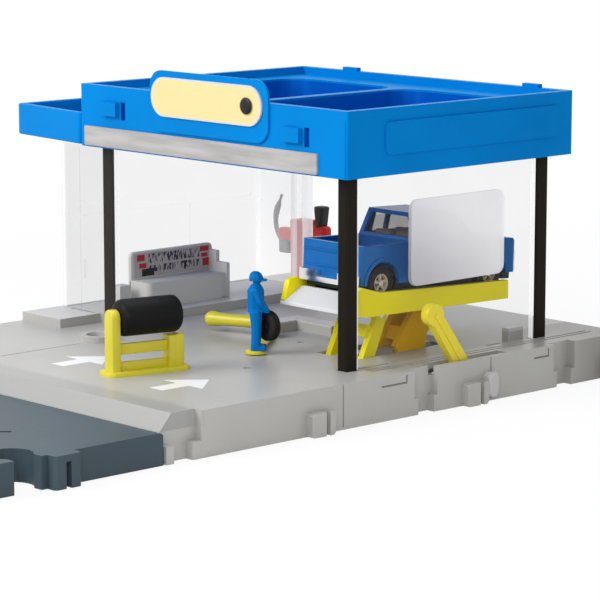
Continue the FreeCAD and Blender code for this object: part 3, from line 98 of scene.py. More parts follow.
# %% [markdown]
# Shader arithmetic.
# A finish is a small sum: a base colour, a little mottling, a worn edge.
# Wiring each sum by hand would hide it, so one class wraps a socket and lets Python's own
# plus, minus and times add the Math nodes, and one method adds every other kind of node.

# %% A wire that can be added and multiplied
class Wire:
    """A value in a node tree, which Python's operators can work on."""

    def __init__(self, wiring, socket):
        self.wiring = wiring
        self.socket = socket

    def maths(self, operation, *values, clamp=False):
        inputs = dict(enumerate(values))
        settings = {"operation": operation, "use_clamp": clamp}
        return self.wiring.node("ShaderNodeMath", settings, inputs)

    def __add__(self, other):
        return self.maths("ADD", self, other)

    def __sub__(self, other):
        return self.maths("SUBTRACT", self, other)

    def __rsub__(self, other):
        return self.maths("SUBTRACT", other, self)

    def __mul__(self, other):
        return self.maths("MULTIPLY", self, other)

    def __truediv__(self, other):
        return self.maths("DIVIDE", self, other)

    __radd__ = __add__
    __rmul__ = __mul__

    def above(self, edge):
        """One where this value is over an edge, nought elsewhere."""
        return self.maths("GREATER_THAN", self, edge)

    def below(self, edge):
        """One where this value is under an edge, nought elsewhere."""
        return self.maths("LESS_THAN", self, edge)

    def size(self):
        """This value without its sign."""
        return self.maths("ABSOLUTE", self)

    def root(self):
        """The square root of this value."""
        return self.maths("SQRT", self)

    def least(self, other):
        """The smaller of this value and another."""
        return self.maths("MINIMUM", self, other)

    def most(self, other):
        """The larger of this value and another."""
        return self.maths("MAXIMUM", self, other)

    def inside(self, low, high):
        """One where this value lies between two others."""
        return self.above(low) * self.below(high)

    def step(self, start, end):
        """Nought before the start, one past the end, and a smooth climb between."""
        settings = {"interpolation_type": "SMOOTHSTEP"}
        inputs = {"Value": self, "From Min": start, "From Max": end}
        return self.wiring.node("ShaderNodeMapRange", settings, inputs)

# %% A tree that the wires run in
class Wiring:
    """A node tree with one method that adds any node to it."""

    def __init__(self, tree):
        self.tree = tree
        self.tree.nodes.clear()

    def feed(self, socket, value):
        """Link a wire to a socket, or write a constant on it."""
        if isinstance(value, Wire):
            self.tree.links.new(value.socket, socket)
        elif isinstance(value, tuple) and socket.type == "RGBA":
            socket.default_value = (*value, 1.0)
        else:
            socket.default_value = value

    def node(self, kind, settings=None, inputs=None, output=0):
        """Add a node: its settings first, then its sockets, and give back one output."""
        made = self.tree.nodes.new(kind)
        for key, value in (settings or {}).items():
            setattr(made, key, value)
        for key, value in (inputs or {}).items():
            self.feed(made.inputs[key], value)
        return Wire(self, made.outputs[output] if len(made.outputs) else None)

    def seen(self):
        """One for the rays of the camera, of mirrors and of glass, nought for the light's."""
        camera_ray, glossy, through = (
            self.node("ShaderNodeLightPath", output=name)
            for name in ("Is Camera Ray", "Is Glossy Ray", "Is Transmission Ray"))
        return (camera_ray + glossy).maths("ADD", camera_ray + glossy, through, clamp=True)

# %% A finish for plastic, metal and print
class Finish(Wiring):
    """A material of one Principled shader, with helpers for its pattern."""

    def __init__(self, name, **constants):
        self.material = bpy.data.materials.new(name)
        self.material.use_nodes = True
        super().__init__(self.material.node_tree)
        self.shader = self.tree.nodes.new("ShaderNodeBsdfPrincipled")
        self.output = self.tree.nodes.new("ShaderNodeOutputMaterial")
        self.tree.links.new(self.shader.outputs["BSDF"], self.output.inputs["Surface"])
        self.set(**constants)

    def set(self, **values):
        """Feed the shader's own sockets."""
        for socket, value in values.items():
            self.feed(self.shader.inputs[socket.replace("_", " ")], value)
        return self

    def place(self):
        """The point on the object, in metres."""
        return self.node("ShaderNodeTexCoord", output="Object")

    def axes(self):
        """The three numbers of that point, in millimetres."""
        split = self.node("ShaderNodeSeparateXYZ", inputs={0: self.place()})
        outputs = split.socket.node.outputs
        return [Wire(self, outputs[index]) * 1000 for index in range(3)]

    def noise(self, scale, detail=3.0, roughness=0.5, stretch=(1, 1, 1)):
        """Cloudy noise from nought to one, with its grain stretched along an axis."""
        point = self.node("ShaderNodeMapping", inputs={"Vector": self.place(), "Scale": stretch})
        inputs = {"Vector": point, "Scale": scale, "Detail": detail, "Roughness": roughness}
        return self.node("ShaderNodeTexNoise", inputs=inputs)

    def mix(self, factor, first, second):
        """Blend two colours."""
        inputs = {0: factor, 6: first, 7: second}
        return self.node("ShaderNodeMix", {"data_type": "RGBA"}, inputs, output=2)

    def bump(self, height, strength=0.2, distance=0.0002):
        """Turn a height into a surface normal."""
        inputs = {"Height": height, "Strength": strength, "Distance": distance}
        return self.node("ShaderNodeBump", inputs=inputs)

print("finish helpers ready")

# %% [markdown]
# The floor and the room.
# The real picture was cut out on white, so the floor and the room look white to the
# camera, to mirrors and through the clear walls, but light the toy only at a plain level.
# A small share of the floor stays an ordinary lit surface, which keeps the toy's shadow.

# %% Lay the floor and paint the room
floor_finish = Finish("studio_floor", Base_Color=(0.86, 0.86, 0.85), Roughness=0.9)
white = floor_finish.node("ShaderNodeEmission", inputs={"Color": (1.0, 1.0, 1.0), "Strength": 1.0})
lit = Wire(floor_finish, floor_finish.shader.outputs["BSDF"])
across, along, _ = floor_finish.axes()
reach = (across * across + along * along).root()
share = floor_finish.seen() * (0.90 + reach.step(200.0, 450.0) * 0.10)
both = floor_finish.node("ShaderNodeMixShader", inputs={0: share, 1: lit, 2: white})
floor_finish.feed(floor_finish.output.inputs["Surface"], both)

bpy.ops.mesh.primitive_plane_add(size=6.0, location=(0, 0, -0.0002))
floor = bpy.context.object
floor.name = "studio_floor"
bpy.ops.object.transform_apply(location=True, rotation=True, scale=True)
floor.data.materials.append(floor_finish.material)

world = bpy.data.worlds.new("studio_room")
world.use_nodes = True
scene.world = world
room = Wiring(world.node_tree)
fill = room.node("ShaderNodeBackground", inputs={"Color": (0.93, 0.96, 1.0), "Strength": 0.42})
backdrop = room.node("ShaderNodeBackground", inputs={"Color": (1.0, 1.0, 1.0), "Strength": 1.0})
sky = room.node("ShaderNodeMixShader", inputs={0: room.seen(), 1: fill, 2: backdrop})
room.node("ShaderNodeOutputWorld", inputs={"Surface": sky})
scene.view_settings.view_transform = "Standard"
print("floor", [round(side, 2) for side in floor.dimensions])

# %% [markdown]
# Moulded plastic.
# Almost every part is injection moulded: one colour all through, with a satin grain from the
# mould, slow changes of shade where the melt flowed, and a little shine.
# The colour varies by a few percent over centimetres, the roughness over millimetres, and a
# fine grain goes into the normal, so that highlights break up as they do on real parts.

# %% Mould the plastics
def plastic(name, colour, roughness=0.4, flow=0.04, grain=0.05, specular=0.25, coat=0.0):
    """A satin moulded plastic of one colour."""
    finish = Finish(name, IOR=1.46, Coat_Weight=coat, Coat_Roughness=0.12)
    finish.set(Specular_IOR_Level=specular)
    cloud = finish.noise(28.0, detail=4.0).step(0.3, 0.7)
    pale = tuple(min(1.0, channel * (1 + flow) + flow * 0.02) for channel in colour)
    deep = tuple(channel * (1 - flow) for channel in colour)
    finish.set(Base_Color=finish.mix(cloud, deep, pale))
    speck = finish.noise(900.0, detail=2.0)
    finish.set(Roughness=roughness - 0.03 + speck * 0.06)
    finish.set(Normal=finish.bump(finish.noise(2400.0, detail=1.0), grain, 0.00005))
    return finish

finishes = {
    "floor_grey": plastic("floor_grey", (0.50, 0.49, 0.46), roughness=0.34, specular=0.5),
    "slate": plastic("slate_plastic", (0.048, 0.073, 0.088), roughness=0.42),
    "roof_blue": plastic("roof_blue", (0.0005, 0.170, 0.530), roughness=0.34, specular=0.04),
    "strip_silver": plastic("strip_silver", (0.40, 0.39, 0.385), roughness=0.35),
    "plaque_print": plastic("plaque_rim", (0.62, 0.63, 0.62), roughness=0.3),
    "badge_black": plastic("badge_black", (0.012, 0.012, 0.013), roughness=0.4),
    "post_black": plastic("post_black", (0.013, 0.011, 0.008), roughness=0.42, specular=0.06),
    "bench_grey": plastic("bench_grey", (0.56, 0.55, 0.53), roughness=0.5),
    "board_print": plastic("board_grey", (0.19, 0.19, 0.20), roughness=0.5),
    "pump_red": plastic("pump_red", (0.72, 0.030, 0.022), roughness=0.3),
    "pump_grey": plastic("pump_grey", (0.22, 0.21, 0.20), roughness=0.45),
    "head_black": plastic("head_black", (0.035, 0.033, 0.032), roughness=0.45),
    "yellow": plastic("crane_yellow", (0.64, 0.56, 0.026), roughness=0.32, specular=0.5),
    "roller_black": plastic("roller_black", (0.007, 0.007, 0.007), roughness=0.45, specular=0.10),
    "figure_blue": plastic("coverall_blue", (0.001, 0.155, 0.470), roughness=0.40, specular=0.06),
    "tyre_black": plastic("tyre_rubber", (0.012, 0.011, 0.011), roughness=0.6),
    "deck_white": plastic("deck_white", (0.72, 0.72, 0.73), roughness=0.4),
    "peg_clear": plastic("peg_pale", (0.52, 0.50, 0.49), roughness=0.22),
    "truck_black": plastic("truck_black", (0.014, 0.014, 0.015), roughness=0.4),
    "hub_tan": plastic("hub_tan", (0.62, 0.50, 0.38), roughness=0.30),
}
print("plastics", len(finishes))

# %% [markdown]
# Metal, lacquer and clear sheet.
# The pins and screws are turned steel, the bumper is bright plated, the pickup is sprayed with
# blue metallic lacquer under a clear coat, and the walls are thin clear sheet.
# Clear sheet is mostly nothing: a mix of a see-through shader and a faint glossy one shows
# what stands behind it, and its edges are painted pale and made to glow, a painted highlight for
# light held inside the sheet.

# %% Plate the metals and spray the lacquer
def metal(name, colour, roughness):
    """Turned or plated metal with fine marks round it."""
    finish = Finish(name, Metallic=1.0)
    marks = finish.noise(700.0, detail=2.0, stretch=(1.0, 1.0, 6.0))
    finish.set(Base_Color=finish.mix(marks, tuple(part * 0.8 for part in colour), colour))
    finish.set(Roughness=roughness - 0.06 + marks * 0.12)
    return finish

finishes["pin_steel"] = metal("pin_steel", (0.62, 0.61, 0.59), 0.30)
finishes["truck_chrome"] = metal("plated_trim", (0.86, 0.86, 0.86), 0.14)

lacquer = Finish("metallic_lacquer", Metallic=0.12, Coat_Weight=0.22, Coat_Roughness=0.08)
lacquer.set(Specular_IOR_Level=0.15, Specular_Tint=(0.35, 0.75, 1.0))
flake = lacquer.noise(5200.0, detail=1.0).step(0.45, 0.75)
lacquer.set(Base_Color=lacquer.mix(flake, (0.001, 0.110, 0.380), (0.004, 0.180, 0.540)))
lacquer.set(Roughness=0.26 + lacquer.noise(700.0) * 0.08)
finishes["truck_paint"] = lacquer
print("metals and lacquer", finishes["truck_paint"].material.name)

# %% Cut the clear sheet
def clear_sheet(name, node, flat, cover=0.06, glint=0.08, body=(0.16, 0.16, 0.16)):
    """Clear sheet: it dims what is behind it a little, and its border is painted pale and glows, a
    painted highlight.
    """
    finish = Finish(name, Roughness=0.08, IOR=1.45, Specular_IOR_Level=0.3)
    low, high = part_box(node)
    border = 0
    axes = finish.axes()
    for axis in flat:
        middle_of, half = (low[axis] + high[axis]) * 500, (high[axis] - low[axis]) * 500
        border = (axes[axis] - middle_of).size().step(half - 0.9, half - 0.5) + border
    finish.border = border.least(1.0)
    finish.cover = cover - 0.01 + finish.noise(60.0, detail=2.0) * 0.02 + finish.border * glint
    # Painted highlight: the border is pale, a little more opaque through the glint, and glows white
    # through the emission below.
    finish.set(Base_Color=finish.mix(finish.border, body, (0.80, 0.80, 0.78)))
    finish.set(Alpha=finish.cover, Emission_Strength=0.5)
    finish.set(Emission_Color=finish.mix(finish.border, (0.0, 0.0, 0.0), (1.0, 1.0, 1.0)))
    return finish

sheets = {
    "pane_left": clear_sheet("sheet_left", "pane_left", (1, 2)),
    "pane_back": clear_sheet("sheet_back", "pane_back", (0, 2), 0.20, 0.30, (0.95, 0.93, 0.92)),
    "pane_door": clear_sheet("sheet_door", "pane_door", (0, 2)),
    "pane_right": clear_sheet("sheet_right", "pane_right", (1, 2), glint=0.45),
}
# Painted light: the back sheet is pale and glows grey all over, and a band near its left end is
# more opaque, a painted glint.
glowing_back_sheet = sheets["pane_back"]
painted_glint_band = glowing_back_sheet.axes()[0].inside(-56.2, -54.2)
glowing_back_sheet.set(Alpha=(glowing_back_sheet.cover + painted_glint_band * 0.36).least(1.0))
glowing_back_sheet.set(Emission_Color=glowing_back_sheet.mix(glowing_back_sheet.border, (0.52, 0.50, 0.49), (1.0, 1.0, 1.0)))
print("clear sheets", len(sheets))

# %% Tint the pickup's glass and paint lit and shaded copies of the lift's yellow
finishes["truck_glass"] = plastic("dark_glass", (0.030, 0.024, 0.022), roughness=0.10, specular=0.5)
finishes["truck_glass"].set(Alpha=0.24 + finishes["truck_glass"].noise(300.0) * 0.06)
cab_tan = plastic("cab_tan", (0.42, 0.34, 0.27), roughness=0.5)
# The lift's parts are one yellow plastic. The platform, its front link and the lever get lighter
# copies of it, painted light, and the crank a deeper orange copy, painted shade.
lit_lift_yellow = plastic("lit_lift_yellow", (0.97, 0.84, 0.004), roughness=0.34, specular=0.25)
shaded_crank_yellow = plastic("shaded_crank_yellow", (0.90, 0.50, 0.001), roughness=0.36, specular=0.04)
lit_lever_yellow = plastic("lit_lever_yellow", (0.76, 0.62, 0.030), roughness=0.34, specular=0.4)
print("yellows", [tint.material.name for tint in (lit_lift_yellow, shaded_crank_yellow, lit_lever_yellow)])

# %% [markdown]
# Frosting on the clear wall.
# The right wall carries a plain frosted panel, milky at its near foot and lighter toward the far
# top, where it is also made to glow, a painted highlight.
# It could be a second thin sheet, but a print has no thickness, so it is drawn on the wall
# itself: a rectangle with rounded corners, on the wall's own y and z, in millimetres.

# %% Frost the right wall
sheet = sheets["pane_right"]
_, y, z = sheet.axes()
panel_middle, panel_half, panel_corner = (33.0, 50.5), (21.0, 13.5), 3.0
aside = ((y - panel_middle[0]).size() - (panel_half[0] - panel_corner)).most(0.0)
aloft = ((z - panel_middle[1]).size() - (panel_half[1] - panel_corner)).most(0.0)
milky = (aside * aside + aloft * aloft).root().below(panel_corner)
frost = sheet.noise(120.0, detail=4.0)
sheet.set(Alpha=sheet.cover + milky * (0.70 + frost * 0.10))
clear_colour = sheet.mix(sheet.border, (0.16, 0.16, 0.16), (0.80, 0.80, 0.78))
fading = (z * 0.8 + y * 0.6).step(34.0, 74.0)
frosted = sheet.mix(fading, (0.62, 0.60, 0.64), (0.94, 0.92, 0.93))
sheet.set(Base_Color=sheet.mix(milky, clear_colour, frosted))
# Painted highlight: toward the top the frosted panel glows a little.
painted_panel_glow = sheet.mix(milky * fading, (0.0, 0.0, 0.0), (0.16, 0.16, 0.16))
sheet.set(Emission_Color=sheet.mix(sheet.border, painted_panel_glow, (1.0, 1.0, 1.0)))
print("frosted panel on", sheet.material.name)

# %% [markdown]
# The label of the sign.
# The label is a bare plate in a warm cream, with a thin grey rim that runs all round it.
# The distance to the capsule's middle line gives a rim of even width, also round its ends.

# %% Paint the sign's label
label = finishes["plaque_print"]
x, _, z = label.axes()
label_left, label_right, label_level, label_radius = -13.7, 26.2, 92.9, 6.3
beyond = (x - label_right).most(label_left - x).most(0.0)
rise = z - label_level
edge = ((beyond * beyond + rise * rise).root() / label_radius).step(0.88, 0.92)
cream = label.mix(label.noise(160.0, detail=2.0), (0.74, 0.60, 0.28), (0.80, 0.66, 0.33))
label.set(Base_Color=label.mix(edge, cream, (0.60, 0.60, 0.59)))
print("label painted", label.material.name)

# %% [markdown]
# Painted shade in the roof.
# The trays of the roof are lit only by what falls in from above, so the plastic looks darker inside
# than on the outer faces. That shade is painted: a darker blue below the rim, inside the walls.
# The silver strip is a foil: its brushed marks run along it.

# %% Paint shade into the roof and brush the strip
roof = finishes["roof_blue"]
x, y, z = roof.axes()
shaded_tray = z.below(90.9) * x.inside(-56.8, 68.4) * y.inside(-21.6, 77.6)
cloud = roof.noise(28.0, detail=4.0).step(0.3, 0.7)
outside = roof.mix(cloud, (0.0005, 0.188, 0.545), (0.0005, 0.210, 0.600))
# Painted shade: inside the trays the blue is darker.
roof.set(Base_Color=roof.mix(shaded_tray, outside, (0.0005, 0.095, 0.460)))
roof.set(Specular_Tint=(0.35, 0.85, 1.0))
strip = finishes["strip_silver"]
brushed = strip.noise(420.0, detail=4.0, stretch=(0.12, 1.0, 1.0))
strip.set(Base_Color=strip.mix(brushed.step(0.25, 0.75), (0.34, 0.33, 0.32), (0.47, 0.45, 0.45)))
strip.set(Roughness=0.30 + brushed * 0.12)
print("roof and strip shaded")

# %% [markdown]
# Print on the floor, and painted light and shade on the base.
# Two white arrows are printed on the floor and point into the garage. The raised stage is painted
# lighter, painted light, because it lies in full light. The front ramp is painted darker. The far
# right corner of the floor is painted darker, painted shade, and two small L-shaped grooves in the
# side and two holes in the floor are dark marks of painted shade, with nothing cut.

# %% Print the floor arrows and paint light and shade on the base
base_finish = finishes["floor_grey"]
x, y, z = base_finish.axes()
top_face = z.inside(13.95, 14.05)

def arrow(across, tip):
    """A floor arrow that points along +y: its middle line and its tip."""
    side = (x - across).size()
    head = side.below((tip - y) * 0.86) * y.above(tip - 10.6)
    shaft = side.below(2.9) * y.inside(tip - 21.0, tip - 10.4)
    return head.most(shaft)

arrows = arrow(-5.6, -52.6).most(arrow(43.8, -54.4)) * top_face
side_face = x.above(73.9)

def groove(start, end):
    """An L-shaped groove near the top of the side."""
    level = y.inside(start, end) * z.inside(10.5, 11.1)
    rise = y.inside(end - 0.6, end) * z.inside(10.5, 13.2)
    return level.most(rise)

grooves = groove(-13.5, -2.5).most(groove(54.5, 61.5)) * side_face
cloud = base_finish.noise(28.0, detail=4.0).step(0.3, 0.7)
bare = base_finish.mix(cloud, (0.42, 0.41, 0.385), (0.455, 0.445, 0.42))
# Painted light: the raised stage is lighter because it lies in full light.
stage = z.above(16.9) * y.above(-34.0)
lit_stage_dark_ramp = base_finish.mix(stage, bare, (0.58, 0.57, 0.55))
# The front ramp is painted darker.
ramp = y.step(-83.0, -88.0) * z.above(9.0)
lit_stage_dark_ramp = base_finish.mix(ramp * 0.9, lit_stage_dark_ramp, (0.34, 0.34, 0.325))

def spot(x0, y0, radius):
    """A small hole in the floor, painted dark as its shade."""
    return ((x - x0) * (x - x0) + (y - y0) * (y - y0)).below(radius * radius) * top_face

holes = spot(38.0, -34.0, 1.3).most(spot(17.6, 7.4, 1.2))
# Painted shade: the far right corner of the floor is darker.
shade = y.step(60.0, 92.0) * x.above(50.0) * 0.6
with_painted_light_and_shade = base_finish.mix(shade, lit_stage_dark_ramp, (0.16, 0.14, 0.12))
# Painted shade: the grooves and holes are dark marks; nothing is cut.
with_painted_light_and_shade = base_finish.mix(grooves.most(holes), with_painted_light_and_shade, (0.15, 0.14, 0.13))
base_finish.set(Base_Color=base_finish.mix(arrows, with_painted_light_and_shade, (0.86, 0.86, 0.85)))
print("arrows and grooves drawn")

# %% [markdown]
# Print on the tool board.
# The label behind the bench shows tools hung in rows: dark strokes on a grey-violet board, with
# small red boxes at both ends and a black tool box at the lower left.
# Strokes come from a noise stretched upward, boxes from plain edges, all on y and z.

# %% Print the tool board
board = finishes["board_print"]
_, y, z = board.axes()
stretched = {"Vector": board.place(), "Scale": (1.0, 1.0, 0.20)}
upright = board.node("ShaderNodeMapping", inputs=stretched)
grain = {"Vector": upright, "Scale": 1800.0, "Detail": 3.0}
strokes = board.node("ShaderNodeTexNoise", inputs=grain)
rows = z.inside(30.7, 33.9).most(z.inside(27.6, 29.9)) * y.inside(8.6, 31.6)
ink = strokes.above(0.51) * rows

def patch(y0, y1, z0, z1):
    """A rectangle on the board."""
    return y.inside(y0, y1) * z.inside(z0, z1)

red = patch(3.6, 7.0, 31.7, 33.9).most(patch(4.6, 7.8, 29.2, 30.9))
red = red.most(patch(31.8, 35.8, 32.4, 34.2)).most(patch(32.4, 35.2, 30.4, 31.8))
red = red.most(patch(33.0, 36.2, 27.3, 30.0))
box = patch(5.8, 11.2, 26.4, 28.9).most(patch(23.6, 26.2, 29.2, 30.0))
box = box.most(patch(24.6, 25.4, 27.0, 29.4))
tone = board.mix(board.noise(220.0, detail=3.0), (0.36, 0.33, 0.33), (0.50, 0.46, 0.45))
tone = board.mix(ink, tone, (0.035, 0.035, 0.05))
tone = board.mix(box, tone, (0.02, 0.02, 0.02))
board.set(Base_Color=board.mix(red, tone, (0.42, 0.03, 0.04)))
print("board printed")

# %% [markdown]
# Dress the mechanism.
# The parts of the imported model keep their own shapes. Each gets the finish of the material it is
# made of, and on the parts listed below a small live bevel rolls the edges, as a mould does, so
# that they catch light.

# %% Give each part its finish and its soft edges
SLOT = {slot: finish.material for slot, finish in finishes.items()}

def soften(name, width, angle=34):
    """Weld a part's loose triangles and roll its sharp edges."""
    part = nodes[name]
    weld = part.modifiers.new("weld", "WELD")
    weld.merge_threshold = 0.000004
    bevel = part.modifiers.new("soft_edges", "BEVEL")
    bevel.width = width * MM
    bevel.segments = 3
    bevel.limit_method = "ANGLE"
    bevel.angle_limit = math.radians(angle)
    bevel.harden_normals = True

# The lift's yellow parts get the lit and shaded copies of the yellow: painted light and painted
# shade.
special = dict(sheets, truck_interior=cab_tan, lift_platform=lit_lift_yellow, lift_lever=lit_lever_yellow,
               lift_crank=shaded_crank_yellow, front_link=lit_lift_yellow)
for name, part in nodes.items():
    for slot in part.material_slots:
        if name in special:
            slot.material = special[name].material
        elif slot.material and slot.material.name in SLOT:
            slot.material = SLOT[slot.material.name]

soft_widths = {
    "roof_shell": 0.8, "roof_wing": 0.7, "fascia_strip": 0.25, "sign_board": 0.35,
    "sign_plaque": 0.25,
    "base_deck": 0.6, "road_tile": 0.6, "post_front_right": 0.4, "post_back_right": 0.3,
    "lift_platform": 0.5, "lift_deck": 0.4, "lift_lever": 0.5, "lift_crank": 0.35,
    "front_link": 0.3, "truck_body": 0.5, "truck_bumper": 0.5, "truck_chassis": 0.3,
    "truck_interior": 0.4, "pump_column": 0.4, "side_peg": 0.4,
}
for name, width in soft_widths.items():
    soften(name, width)
print("dressed", len(nodes), "softened", len(soft_widths))

# %% [markdown]
# Shop tools.
# Most small pieces of a toy are either turned, cut from a block, or a bar led along a line.
# Three helpers stand for those: one draws a ring out along its axis, step by step, as a lathe
# would turn it, one rolls the edges of a block, and one fills a round bar along a smooth line.

# %% A lathe, a block and a bar
def alone(piece):
    """Select one piece and nothing else."""
    bpy.ops.object.select_all(action="DESELECT")
    piece.select_set(True)
    bpy.context.view_layer.objects.active = piece

def settle(piece):
    """Write a piece's place, turn and scale into its mesh."""
    alone(piece)
    bpy.ops.object.transform_apply(location=True, rotation=True, scale=True)

def lathe(outline, sides=40):
    """Turn an outline of (along, radius) pairs, in millimetres, about Z."""
    level, wide = outline[0]
    bpy.ops.mesh.primitive_circle_add(vertices=sides, radius=wide * MM, location=(0, 0, level * MM))
    turned = bpy.context.object
    settle(turned)
    bpy.ops.object.mode_set(mode="EDIT")
    bpy.ops.mesh.select_all(action="SELECT")
    for (level, wide), (next_level, next_wide) in zip(outline, outline[1:]):
        climb = {"value": (0, 0, (next_level - level) * MM)}
        bpy.ops.mesh.extrude_edges_move(TRANSFORM_OT_translate=climb)
        ratio = next_wide / wide
        bpy.ops.transform.resize(value=(ratio, ratio, 1.0), center_override=(0, 0, 0))
    bpy.ops.mesh.select_all(action="SELECT")
    bpy.ops.mesh.remove_doubles(threshold=0.000005)
    bpy.ops.mesh.fill_holes(sides=0)
    bpy.ops.mesh.normals_make_consistent(inside=False)
    bpy.ops.object.mode_set(mode="OBJECT")
    return turned

def roll(piece, width, steps=2, wanted=None):
    """Bevel the edges of a piece whose middle and direction are wanted."""
    alone(piece)
    bpy.ops.object.mode_set(mode="EDIT")
    bpy.ops.mesh.select_mode(type="EDGE")
    bpy.ops.mesh.select_all(action="DESELECT")
    shape = bmesh.from_edit_mesh(piece.data)
    for edge in shape.edges:
        start, end = (corner.co for corner in edge.verts)
        middle_of, way = (start + end) * 500, (end - start).normalized()
        edge.select_set(wanted is None or wanted(middle_of, way))
    bmesh.update_edit_mesh(piece.data)
    bpy.ops.mesh.bevel(offset=width * MM, segments=steps, affect="EDGES")
    bpy.ops.object.mode_set(mode="OBJECT")
    return piece

def block(low, high, edge=0.3, steps=2):
    """A block between two corners, in millimetres, with rolled edges."""
    bpy.ops.mesh.primitive_cube_add(size=1.0)
    cut = bpy.context.object
    cut.scale = [(b - a) * MM for a, b in zip(low, high)]
    cut.location = [(a + b) * MM / 2 for a, b in zip(low, high)]
    settle(cut)
    return roll(cut, edge, steps) if edge else cut

def bar(points, sides=3):
    """A round bar along a smooth line of (x, y, z, radius) points, in millimetres."""
    line = bpy.data.curves.new("bar", "CURVE")
    line.dimensions = "3D"
    line.bevel_depth = MM
    line.bevel_resolution = sides
    line.use_fill_caps = True
    spline = line.splines.new("NURBS")
    spline.points.add(len(points) - 1)
    for point, (x, y, z, radius) in zip(spline.points, points):
        point.co = (x * MM, y * MM, z * MM, 1.0)
        point.radius = radius
    spline.order_u = 3
    spline.use_endpoint_u = True
    piece = bpy.data.objects.new("bar", line)
    scene.collection.objects.link(piece)
    alone(piece)
    bpy.ops.object.convert(target="MESH")
    return bpy.context.object

def put(piece, place, way=(0, 0, 1)):
    """Move a piece made at the origin to a place, in millimetres, its Z along a way."""
    piece.rotation_euler = Vector(way).to_track_quat("Z", "Y").to_euler()
    piece.location = Vector(place) * MM
    settle(piece)
    return piece

def joined(pieces):
    """One piece out of several."""
    alone(pieces[0])
    for piece in pieces:
        piece.select_set(True)
    bpy.ops.object.join()
    return bpy.context.object

def ready(piece, name, finish, body, *stands_for, angle=35):
    """Name a piece, finish it, smooth it and let it ride on a body."""
    piece.name = name
    if isinstance(finish, str):
        finish = finishes[finish]
    piece.data.materials.clear()
    piece.data.materials.append(finish.material)
    settle(piece)
    bpy.ops.object.shade_smooth_by_angle(angle=math.radians(angle))
    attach(piece, body)
    if stands_for:
        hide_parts(*stands_for)
    print(name, "faces", len(piece.data.polygons))
    return piece

# %% [markdown]
# Roller and stand.
# The roller is a black drum with soft ends that turns between two yellow uprights. The near
# upright is a flat bar with a round top, and a web with two narrow slots ties it to the far one.
# The slots are narrow and long, so the web is built from its bars: a low one, a middle one.

# %% Build the roller and its stand
stand_way = Vector((0.2164, 0.9763, 0.0))
stand_middle = (21.2, -60.7, 0.0)

def on_stand(piece):
    """Turn a piece made along X to the stand's line and stand it there."""
    piece.rotation_euler = (0, 0, math.atan2(stand_way.y, stand_way.x))
    piece.location = Vector(stand_middle) * MM
    settle(piece)
    return piece

drum = [(-9.05, 0.9), (-9.05, 4.3), (-8.75, 5.0), (-8.1, 5.5), (-7.3, 5.7),
        (9.4, 5.7), (10.2, 5.5), (10.75, 5.0), (11.0, 4.3), (11.0, 0.9)]
roller = put(lathe(drum, 48), (21.2, -60.7, 31.3), stand_way)
ready(roller, "roller_drum", "roller_black", "spool", "roller")

def along_z(middle_of, way):
    return abs(way.z) > 0.9

near = block((-12.3, -2.8, 14.0), (-9.4, 2.8, 34.1), 0)
roll(near, 2.75, 6, lambda middle_of, way: abs(way.x) > 0.9 and middle_of.z > 30)
roll(near, 0.35, 2, lambda middle_of, way: middle_of.z > 15 and abs(way.x) < 0.5)
far = roll(block((9.4, -2.8, 14.0), (12.3, 2.8, 25.2), 0), 0.4, 2)
gusset = roll(block((7.2, -2.6, 14.4), (11.0, 2.6, 25.0), 0), 0.4, 2)
low_bar = block((-10.0, -0.9, 14.0), (10.0, 0.9, 17.8), 0.3)
middle_bar = block((-10.0, -0.9, 20.1), (10.0, 0.9, 23.4), 0.3)
foot = block((-14.1, -4.6, 14.0), (14.1, 4.6, 15.4), 0)
roll(foot, 2.6, 4, along_z)
roll(foot, 0.4, 2, lambda middle_of, way: middle_of.z > 15)
stand = on_stand(joined([near, far, gusset, low_bar, middle_bar, foot]))
ready(stand, "stand_frame", "yellow", "base", "roller_stand")

# %% [markdown]
# Workbench.
# The bench is one moulding: a long cabinet with a wide rounded corner, a thin back panel with
# rounded top corners, and at its far end two low walls that step down toward the front.
# It is put together from rolled blocks that sink into each other, as the ribs of a moulding do.

# %% Build the workbench and its label
panel = block((-62.0, 1.2, 17.0), (-60.4, 37.7, 35.0), 0)
roll(panel, 1.6, 4, lambda middle_of, way: abs(way.x) > 0.9 and middle_of.z > 30)
roll(panel, 0.3, 2, lambda middle_of, way: middle_of.z > 18 and abs(way.x) < 0.5)
cabinet = block((-61.0, 1.2, 17.0), (-51.0, 33.8, 25.6), 0)
roll(cabinet, 2.0, 4,
     lambda middle_of, way: abs(way.z) > 0.9 and middle_of.x > -55 and middle_of.y < 10)
roll(cabinet, 0.45, 2, lambda middle_of, way: middle_of.z > 25)
high_wall = block((-61.2, 35.9, 17.1), (-56.3, 37.65, 32.8), 0.4)
low_wall = block((-61.1, 33.0, 17.05), (-51.5, 37.2, 25.4), 0.35)
end_wall = block((-61.3, 36.1, 17.0), (-51.0, 37.7, 29.0), 0.4)
cube = block((-62.0, -6.6, 17.0), (-57.0, -1.6, 24.7), 0.4)
tie = block((-62.0, -3.0, 17.0), (-60.6, 3.0, 18.4), 0.3)
bench = joined([panel, cabinet, high_wall, low_wall, end_wall, cube, tie])
ready(bench, "bench_moulding", "bench_grey", "base", "workbench")
sticker = block((-60.45, 2.4, 26.2), (-60.2, 36.6, 34.4), 0)
roll(sticker, 0.6, 3, lambda middle_of, way: abs(way.x) > 0.9)
ready(sticker, "tool_label", "board_print", "base", "tool_board")

# %% [markdown]
# Wheels.
# The pickup's wheels are black tyres with two fine grooves in the tread, over tan rims with five
# spokes and a small boss, dark between the spokes. The spare in the figure's hands is one tyre
# with a closed dark middle.
# Tyres and rims are turned, the spokes are rolled blocks set round the middle.

